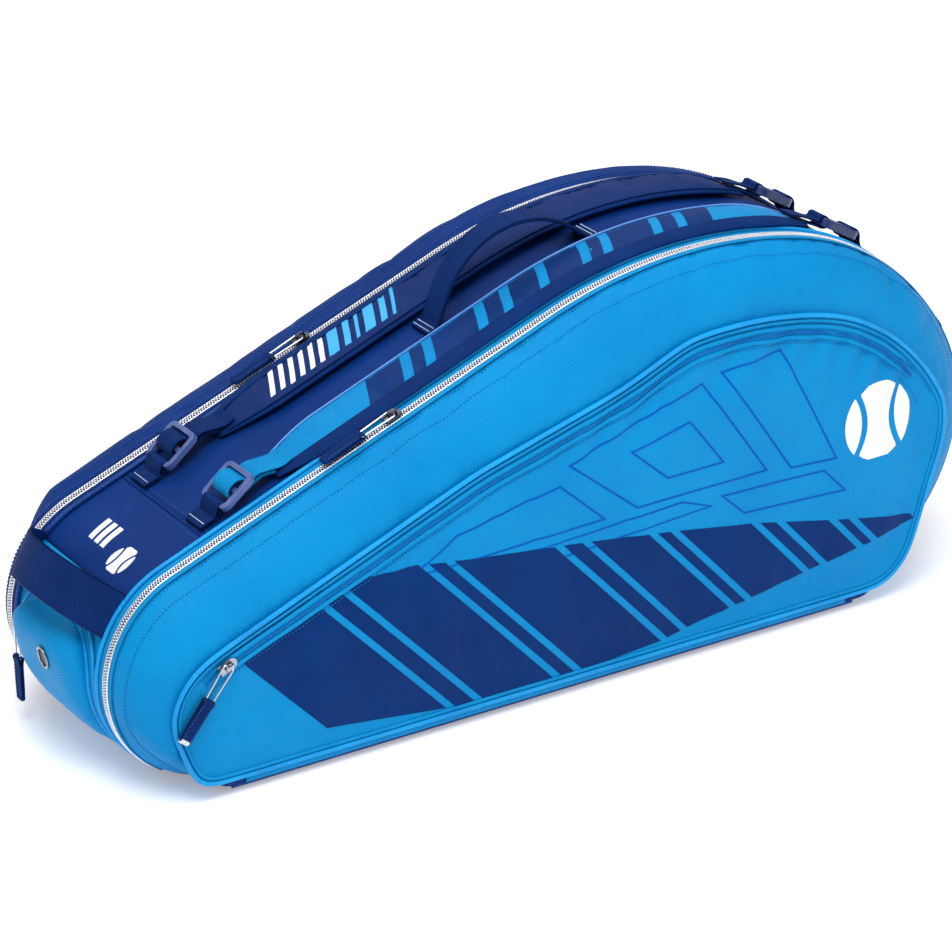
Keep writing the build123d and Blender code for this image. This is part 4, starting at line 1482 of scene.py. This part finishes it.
for name, length in (("handle", seam_l), ("head", head_seam_l)):
    finished(swept(name + "_seam_welt", *across_line(length), flat_profile(2.6, 0.7, 0.25), "navy"), "bag")
    for tag, shift in (("a", -5.0), ("b", 5.0)):
        stitches("%s_seam_stitches_%s" % (name, tag), *across_line(length + shift), "thread_navy", "bag")

# ---- Piping, zip tapes and teeth round the outline ---------------------------------------
ZIP_LOW = low("front_zip_gusset_tape")[2]
ZIP_LENGTHS = np.linspace(*lengths_at_z(ZIP_LOW), 640)
TOOTH_PITCH = 2.3


def round_strip(name, y, out, profile, looks):
    return swept(name, place(ZIP_LENGTHS, y, out), outward(ZIP_LENGTHS), profile, looks)


for prefix, sign, colour in SIDES:
    y_zip = sign * HALF_GUSSET
    cover = prefix + "_cover"
    for part, body, shift, out, profile, looks, slot in (
        ("_gusset_piping", "bag", -12.3, 1.5, circle(1.9, 12), "_piping", "_piping"),
        ("_zip_gusset_tape", "bag", -6.2, 0.3, flat_profile(8.4, 1.0, 1.1), "_tape", "_zip_tape"),
        ("_zip_cover_tape", cover, 5.6, 0.1, flat_profile(5.4, 0.9, 0.5), "_tape", "_zip_tape"),
    ):
        strip = round_strip(prefix + part, y_zip + sign * shift, out, profile, colour + looks)
        finished(strip, body, prefix + part, slot=colour + slot)
    for side, body, node in ((-1, "bag", "_zip_gusset_teeth"), (1, cover, "_zip_cover_teeth")):
        line = place(ZIP_LENGTHS, y_zip, 1.5)
        moved = {"shift": side * sign * 1.6, "offset": TOOTH_PITCH / 2 * (side > 0)}
        shape = tooth(3.3, 1.5, 1.5)
        row = bars(prefix + node, line, outward(ZIP_LENGTHS), shape, TOOTH_PITCH, "teeth", **moved)
        cord = round_strip("cord", y_zip + side * sign * 3.3, 1.2, circle(0.6, 8), "teeth")
        finished(join(prefix + node, [row, cord]), body, prefix + node, slot="zip_teeth")

# ---- Base --------------------------------------------------------------------------------
lengths = np.linspace(base_end, LOOP + base_start, 160)
y_rows = np.linspace(-HALF_GUSSET - 0.2, HALF_GUSSET + 0.2, 40)
l_grid, y_grid = np.meshgrid(lengths, y_rows, indexing="ij")
base_middle = from_grid("base_middle", place(l_grid, y_grid, 0.0), "navy")
for part in (front_low, rear_low):
    part.data.materials[0] = mats["navy"]
base = join("base", [front_low, rear_low, base_middle])
weld(base, 0.3)
facing(base, (0, 0, -1))
BASE_ROLL = 25.0            # how far the base curves up under its front and rear edges
BASE_CORD_Z = 4.6
base_points = vertices(base)
sunk = np.clip((BASE_EDGE - base_points[:, 2]) / BASE_EDGE, 0, 1)
share = BASE_ROLL / COVER_DEPTH * (1 - np.sqrt(1 - sunk**2))
beyond = np.clip(np.abs(base_points[:, 1]) - HALF_GUSSET, 0, None)
base_points[:, 1] -= np.sign(base_points[:, 1]) * beyond * share
set_vertices(base, base_points)
base.data.materials.clear()
base.data.materials.append(mats["navy"])
thicken(base, WALL, inner="lining")
base_points = vertices(base)
base_points[:, 2] = np.maximum(base_points[:, 2], 0.0)      # flat where it stands
set_vertices(base, base_points)
finished(base, "bag", "base_panel", slot="navy_fabric")
for prefix, sign, _ in SIDES:
    x = np.linspace(END_CENTRE[0] - 8, HEAD_CENTRE[0] + 8, 200)
    line = at_y(np.stack([x, np.full_like(x, BASE_CORD_Z)], -1), sign * (FACE_Y - 3.0))
    finished(swept(prefix + "_base_piping", line, (0, 0, 1), circle(1.8, 10), "navy_piping"), "bag")

# ---- Divider -----------------------------------------------------------------------------
DIVIDER_CELLS = (120, 40)
DIVIDER_INSET = 4.2


def divider_side(sign):
    """One quilted face of the divider."""
    across, up = DIVIDER_CELLS
    lengths = loop_lengths(across, up)
    grid = coons(place(lengths, 0.0, -DIVIDER_INSET)[:, [0, 2]], across, up)
    quilt = 1.4 * np.abs(np.sin(grid[..., 0] / 38)) ** 0.4 * pillow(up + 1, across + 1, 8)
    return at_y(grid, sign * (0.35 + quilt))


divider = join("divider", [from_grid("side", divider_side(sign), "lining") for sign in (-1, 1)])
cut_below(divider, BASE_EDGE)


def bridge_rims(work):
    bmesh.ops.bridge_loops(work, edges=[e for e in work.edges if e.is_boundary])
    bmesh.ops.recalc_face_normals(work, faces=work.faces)


edit(divider, bridge_rims)
finished(divider, "bag", "divider_panel", slot="inner_lining")

# ---- End pocket's wall, eyelet, hem and rim ----------------------------------------------
thicken(dome, DOME_WALL, inner="lining")
finished(dome, "end_flap", "end_pocket_flap", slot="cyan_fabric")


def arch_strip(name, margin, out, profile, looks):
    y, lengths = arch(margin, 260).T
    return swept(name, place(lengths, y, out), outward(lengths), profile, looks)


eye = middle("end_pocket_eyelet")
spot_on, spot_out = onto(dome_tree, eye[None], (-1, 0, 0), 0.2)
spot_on, spot_out = spot_on[0], unit(spot_out[0])
side_way = unit(np.cross(spot_out, (0, 0, 1)))
up_way = np.cross(side_way, spot_out)


EYELET_RADIUS = 6.8


def eyelet_circle(radius, out):
    """A slightly tall circle round the eyelet's middle, this far out from the dome."""
    a = np.linspace(0, 2 * pi, 40, endpoint=False)[:, None]
    return spot_on + radius * (np.cos(a) * side_way + 1.25 * np.sin(a) * up_way) + spot_out * out


ring_line, ring_profile = eyelet_circle(EYELET_RADIUS, 0.5), flat_profile(2.6, 1.0, 0.3)
ring = swept("ring", ring_line, spot_out, ring_profile, "eyelet", loop=True)
# A near-black disc inside the ring: painted shade standing in for the dark opening behind the eyelet
hole_rings = [eyelet_circle(radius, out) for radius, out in ((6.2, -0.6), (6.2, 0.35), (3, 0.4))]
hole = from_rings("eyelet_shade_disc", np.stack(hole_rings), "hole")
finished(join("end_pocket_eyelet_ring", [ring, hole]), "end_flap", "end_pocket_eyelet", slot="eyelet_metal")

hem = arch_strip("end_pocket_hem", 0.4, 1.6, circle(1.7, 10), "cyan_piping")
finished(hem, "end_flap")
rim = join(
    "end_pocket_rim",
    [
        arch_strip("tape", 4.6, 0.5, flat_profile(7.0, 0.8, 0.4), "cyan_tape"),
        arch_strip("welt", 9.2, 1.0, circle(1.5, 10), "cyan_piping"),
    ],
)
finished(rim, "bag", "end_pocket_rim", slot="cyan_piping")
y, lengths = arch(3.6, 300).T
line, shape = place(lengths, y, 1.3), tooth(3.0, 1.0, 1.0)
finished(bars("end_pocket_teeth", line, outward(lengths), shape, 1.8, "cyan_piping"), "bag")

# ---- Shoulder straps' edges --------------------------------------------------------------
for strap, body in zip(straps, strap_objects):
    finished(body, strap.body, strap.prefix + "_shoulder_strap", slot=strap.colour + "_fabric")


BINDING_OUT = 0.7
BINDING_THICKNESS = 1.5


def binding_rings(strap, first, last):
    """A strip that wraps part of the strap's edge, as closed cross-sections."""
    angles = np.linspace(first, last, 14)
    inner = strap.rings(angles[::-1], BINDING_OUT - BINDING_THICKNESS)
    return np.concatenate([strap.rings(angles, BINDING_OUT), inner], 1)


for strap in straps:
    parts = []
    for edge in (-1, 1):
        over = 0.34 * pi if edge == strap.sign else 0.13 * pi
        ends = (over, -0.22 * pi) if edge < 0 else (pi - over, 1.22 * pi)
        parts.append(from_rings("binding", binding_rings(strap, *ends), "binding"))
    cord_path = strap.rings(np.array([pi * (0.82 if strap.sign < 0 else 0.18)]), 0.5, start=8, end=8)[:, 0]
    cord_looks = "edge" if strap.sign < 0 else "binding"
    parts.append(swept("edge", cord_path, outward(length_at_x(cord_path[:, 0])), circle(0.75, 8), cord_looks))
    name = strap.prefix + "_strap_binding"
    finished(join(name, parts), strap.body, name, slot="navy_webbing")

# ---- Fold strips between the base and the covers -----------------------------------------
FOLD_REACH = 2.6
for prefix, sign, colour in SIDES:
    x = np.linspace(END_CENTRE[0] + 2, HEAD_CENTRE[0] - 2, 90)
    bow = 0.35 + 0.5 * np.sin(np.linspace(0, pi, 9))
    heights = np.linspace(BASE_EDGE - FOLD_REACH, FOLD_Z + FOLD_REACH, 9)
    near = np.stack([sign * (FACE_Y + bow), heights], -1)
    far = np.stack([sign * (FACE_Y + bow + 0.9), heights], -1)[::-1]
    points = np.empty((len(x), 2 * len(bow), 3))
    points[..., 0] = x[:, None]
    points[..., 1:] = np.vstack([near, far])
    strip = from_rings(prefix + "_fold_strip", points, colour)
    fold_line = [(0, sign * FACE_Y, BASE_EDGE - 1.5), (0, sign * FACE_Y, FOLD_Z + 1.5)]
    finished(strip, "bag", blend=(prefix + "_cover", fold_line))


# ---- Webbing -----------------------------------------------------------------------------
def spot(length, out):
    """X and Z of a point at this length round the outline, this far out."""
    return tuple(place(length, 0.0, out)[[0, 2]])


def plane_ribbon(name, origin, across, out, spots, width, thickness, looks, count=100, turn=0.0):
    """A ribbon whose path, in steps along across and out, lies in one plane through origin."""
    spots = smooth_line(spots, count)
    across, out = np.asarray(across, float), np.asarray(out, float)
    path = np.asarray(origin, float) + spots[:, :1] * across + spots[:, 1:] * out
    up = np.cross(unit(np.cross(across, out)), unit(np.gradient(path, axis=0)))
    return swept(name, path, up, flat_profile(width, thickness), looks, turn=turn)


def side_ribbon(name, y, spots, width, thickness, looks="navy_web", count=100):
    """A ribbon that runs along the bag at this Y, through (X, Z) spots."""
    return plane_ribbon(name, (0, y, 0), (1, 0, 0), (0, 0, 1), spots, width, thickness, looks, count)


def tack(name, length, y, half, out):
    """A bar of close white stitches across a sewn ribbon."""
    line = place(np.full(26, length), np.linspace(y - half, y + half, 26), out)
    stitches(name, line, np.repeat(outward([length]), 26, 0), "thread_pale", "bag", pitch=1.6, share=0.75)


WEB = 24.0
BUCKLE_TILT = pi / 10
for strap in straps:
    prefix, colour, y = strap.prefix, strap.colour, strap.middle
    buckle = middle(prefix + "_strap_buckle")[[0, 2]]
    turned = SLOPE + BUCKLE_TILT
    buckle_x = np.array((cos(turned), sin(turned)))
    buckle_z = np.array((-sin(turned), cos(turned)))

    def by_buckle(points):
        """From the buckle's own frame, uphill and out of it."""
        return [tuple(buckle + u * buckle_x + w * buckle_z) for u, w in points]

    slack = by_buckle(
        [(47, -19.3), (38, -17.2), (30, -11.5), (22, -5.6), (14.5, -3.6), (10.5, 1.2), (7, 5.0), (1.5, 6.4)]
        + [(-4.0, 5.0), (-6.8, 0.4), (-4.2, -3.6), (3, -6.2), (12, -7.8), (22, -9.6), (31, -16.0)]
    )
    name = prefix + "_strap_webbing"
    web = side_ribbon(name, y, slack, WEB, 1.5, colour + "_web", 120)
    ends = [(x, y, z) for x, z in by_buckle([(20, -4), (40, -17)])]
    finished(web, "bag", name, slot=colour + "_webbing", blend=(strap.body, ends))
    name = prefix + "_buckle_tab"
    spots = [spot(seam_l + 2, 1.0), spot(seam_l + 12, 1.2)]
    spots += by_buckle([(-23, -5.5), (-18.4, -2.6), (-15, -3.6), (-11.6, 0), (-15, 3.6), (-19.5, 1.8)])
    spots += by_buckle([(-25, -2.0)]) + [spot(seam_l + 13, 3.0), spot(seam_l + 2, 2.7)]
    finished(side_ribbon(name, y, spots, WEB, 1.4), "bag", name, slot="navy_webbing")
    tack(name + "_tack", seam_l + 6, y, 10, 3.9)
    hook = middle(prefix + "_strap_hook")
    hook_angle = np.arctan2(hook[2] - SHOULDER_CENTRE[1], hook[0] - SHOULDER_CENTRE[0])
    hook_l = length_at_x(polar(SHOULDER_CENTRE, SHOULDER_RADIUS, hook_angle)[0])
    tab = [(42, 1.1), (32, 1.2), (25, 2.0), (19, 4.2), (12.5, 4.8), (10.4, 9.0), (12.5, 13.3), (18, 13.8)]
    tab += [(22.3, 11.5), (26, 6.6), (31, 3.6), (42, 3.0)]
    name = prefix + "_hook_tab"
    piece = side_ribbon(name, y, [spot(hook_l + a, b) for a, b in tab], 19.0, 1.5)
    finished(piece, "bag", name, slot="navy_webbing")
    tack(name + "_tack", hook_l + 37, y, 8, 4.0)
    back = strap.end - hook_l
    eye = [(back - 16, 9.0), (back - 4, 9.2), (-22, 8.6), (-19.5, 13.0), (-15, 13.6), (-10.6, 10.5)]
    eye += [(-11, 6.2), (-16, 4.3), (-22, 4.6), (back - 4, 5.4), (back - 16, 5.2)]
    eye = [spot(hook_l + a, b) for a, b in eye]
    finished(side_ribbon(prefix + "_strap_eye_loop", y, eye, 18.0, 1.4), strap.body)

# Carry handle: one strap sewn flat at both feet
tip = joints["carry_handle_tip"]
handle_at = np.array(tip["pos_m"]) / MM
handle_u = np.array((tip["axis"][0], tip["axis"][2]))
handle_w = np.array((-handle_u[1], handle_u[0]))
HANDLE_WIDTH = high("carry_handle")[1] - low("carry_handle")[1]
HANDLE_PIVOT = 8.0          # the joint's height over the line between the feet
HANDLE_ARC = 74.7
HANDLE_TOP = 45.4
foot_middle = middle("carry_handle_feet")[0]
bend = np.linspace(-0.93, 0.93, 11)
arch_spots = [(HANDLE_ARC * sin(a), HANDLE_TOP - HANDLE_ARC * (1 - cos(a)) - HANDLE_PIVOT) for a in bend]
arch_spots = [handle_at[[0, 2]] + u * handle_u + w * handle_w for u, w in arch_spots]
feet = []
for side in (-1, 1):
    feet.append([spot(length_at_x(foot_middle + side * reach), out) for reach, out in ((78, 1.6), (69, 2.0))])
handle_spots = [*feet[0], *arch_spots, *feet[1][::-1]]
handle = side_ribbon("carry_handle", 0, handle_spots, HANDLE_WIDTH, 3.0, count=160)
hinge = [tuple(handle_at + np.array((handle_w[0], 0, handle_w[1])) * w) for w in (-5.0, 5.0)]
blend = ("carry_handle", hinge)
finished(handle, "bag", "carry_handle", "carry_handle_feet", slot="navy_webbing", blend=blend)
for tag, side in (("a", -1), ("b", 1)):
    for step in (72, 76):
        at = length_at_x(foot_middle + side * step)
        tack("handle_tack_%s%d" % (tag, step), at, 0, HANDLE_WIDTH / 2 - 2.5, 3.5)

# Grab loop: slack webbing caught in the seams on both sides of the end
LOOP_WIDTH = 37.0
grab_l = length_at_end(144)
grab_out = outward(grab_l)
spots = [(-65.5, 0.6), (-61, 3.4), (-55, 12.0), (-44, 24.0), (-26, 33.6), (0, 38.0), (26, 35.4), (46, 25.6)]
spots += [(56, 13.0), (61.5, 4.0), (65.5, 0.6)]
twist = 0.16 * np.sin(np.linspace(0, pi, 130))
grab = ("end_grab_loop", place(grab_l, 0.0, 0.0), (0, 1, 0), grab_out, spots, LOOP_WIDTH, 2.4, "navy_web")
grab = plane_ribbon(*grab, count=130, turn=twist)
hinge = [tuple(place(grab_l, 0.0, out)) for out in (1.5, 9.0)]
finished(grab, "bag", "end_grab_loop", slot="navy_webbing", blend=("end_loop", hinge))

# Hang loop at the head end
hang = [(-30, 1.1), (-18, 1.2), (-8, 1.6), (4, 4.2), (16, 8.4), (24, 10.8), (28.0, 12.6), (26.4, 14.4)]
hang += [(16, 12.2), (4, 7.6), (-8, 3.6), (-18, 3.0), (-30, 2.9)]
hang_low, hang_high = low("head_hang_loop"), high("head_hang_loop")
hang_l = OVER - HEAD_RADIUS * radians(34 + 90)
hang_y = (hang_low[1] + hang_high[1]) / 2
spots = [spot(hang_l + a, b) for a, b in hang]
piece = side_ribbon("head_hang_loop", hang_y, spots, hang_high[1] - hang_low[1], 1.5)
finished(piece, "bag", "head_hang_loop", slot="navy_webbing")
for step in (27, 22):
    tack("hang_tack_%d" % step, hang_l - step, hang_y, 10, 4.1)

# ---- Pull tabs: webbing folded through the wire and stitched shut ------------------------
TAB_LENGTH = 34.0
TAB_WIDTH = 10.6
zip_pulls = {
    "front_main": ("front_pull", outward(END_ARC + 200)),
    "rear_main": ("rear_pull", outward(END_ARC + 200)),
    "pocket": ("pocket_pull", np.array(FORWARD)),
    "end_pocket": ("end_pull", np.array((-1.0, 0.0, 0.0))),
}
for prefix, (body, out) in zip_pulls.items():
    centre = middle(prefix + "_pull_tab")
    along = unit(centre - middle(prefix + "_pull_loop"))
    start = centre - along * TAB_LENGTH / 2
    spots = [(TAB_LENGTH - 1, -1.1), (20, -1.3), (5, -1.2), (0.5, -1.8), (-1.5, -2.1), (-3.4, 0.0)]
    spots += [(-1.5, 2.1), (0.5, 1.8), (5, 1.0), (20, 0.7), (TAB_LENGTH - 1, 0.3)]
    name = prefix + "_pull_tab"
    parts = [plane_ribbon(name, start, along, out, spots, TAB_WIDTH, 1.3, "navy_web", 90)]
    side = unit(np.cross(along, out))
    tip_path = start + along * np.linspace(TAB_LENGTH - 3.6, TAB_LENGTH + 0.4, 6)[:, None] - out * 0.4
    swell = np.array([0.75, 0.98, 1.0, 1.0, 0.96, 0.7])[:, None, None]
    tip_profile = flat_profile(TAB_WIDTH + 0.6, 3.4, 0.2) * swell
    parts.append(swept("tip", tip_path, out, tip_profile, "wire" if prefix == "pocket" else "binding"))
    finished(join(name, parts), body, name, slot="navy_webbing")
    for tag, shift in (("a", -3.6), ("b", 3.6)):
        steps = np.linspace(3, TAB_LENGTH - 5, 40)[:, None]
        height = np.interp(steps, [3, 5, 20, 33], [1.9, 1.8, 1.5, 1.1])
        line = start + along * steps + side * shift + out * height
        normals = np.repeat(out[None], len(line), 0)
        stitches("%s_stitches_%s" % (name, tag), line, normals, "thread_navy", body, pitch=2.4)


# ---- Prints on the straps and the gusset -------------------------------------------------
def leaning_blocks(first, last, y_low, y_high, widths, gap, lean):
    """Blocks of different widths, one after another along X, all leaning one way."""
    pieces, x, k = [], first, 0
    while x + widths[k % len(widths)] < last:
        width = widths[k % len(widths)]
        pieces.append([(x, y_low), (x + width, y_low), (x + width + lean, y_high), (x + lean, y_high)])
        x += width + gap
        k += 1
    return pieces


STRAP_TOP = (-0.3, 0, 1)
near_strap, far_strap = strap_objects
blocks = leaning_blocks(-142, 200, -59, -24, (30, 11, 38, 14, 24), 8.5, 16)
stencil("near_strap_print", near_strap, blocks, (0, 1), "ink_navy", "front_strap", side=STRAP_TOP)
for name, first, last, widths, gap, ink in (
    ("far_strap_stripes", -178, -128, (4.2,), 4.6, "ink_white"),
    ("far_strap_sky_stripes", -126, -60, (9, 5.5, 3), 5.0, "ink_sky"),
):
    stripes = leaning_blocks(first, last, 28, 60, widths, gap, 15)
    stencil(name, far_strap, stripes, (0, 1), ink, "rear_strap", side=STRAP_TOP)
gusset_mark = [piece * np.array((1, 0.6)) for piece in ball_mark((-24, 0), 12.0, rows=16)]
gusset_mark += [np.array([(y, 0), (y + 6, 0), (y + 9, 9), (y + 3, 9)]) for y in (2, 11, 20)]
mark_z = place(length_at_end(122), 0.0, 0.0)[2]
gusset_mark = [piece + np.array((0, mark_z)) for piece in gusset_mark]
gusset = bpy.data.objects["handle_end_gusset"]
end_face = (-0.8, 0, 0.6)
stencil("gusset_ball_mark", gusset, gusset_mark, (1, 2), "ink_white", "bag", thickness=0.2, side=end_face)

# ---- Materials for the CAD pieces that show ----------------------------------------------
for key, names in {
    "slider": ["front_main_slider", "rear_main_slider"],
    "wire": ["front_main_pull_loop", "rear_main_pull_loop", "pocket_pull_loop", "end_pocket_pull_loop"],
    "chrome": ["pocket_slider", "end_pocket_slider"],
    "rim": ["front_strap_buckle", "rear_strap_buckle"],
    "plastic": ["front_strap_hook", "rear_strap_hook"],
    "board": ["base_stiffener"],
}.items():
    for name in names:
        SEEN[name].material_slots[0].material = mats[key]
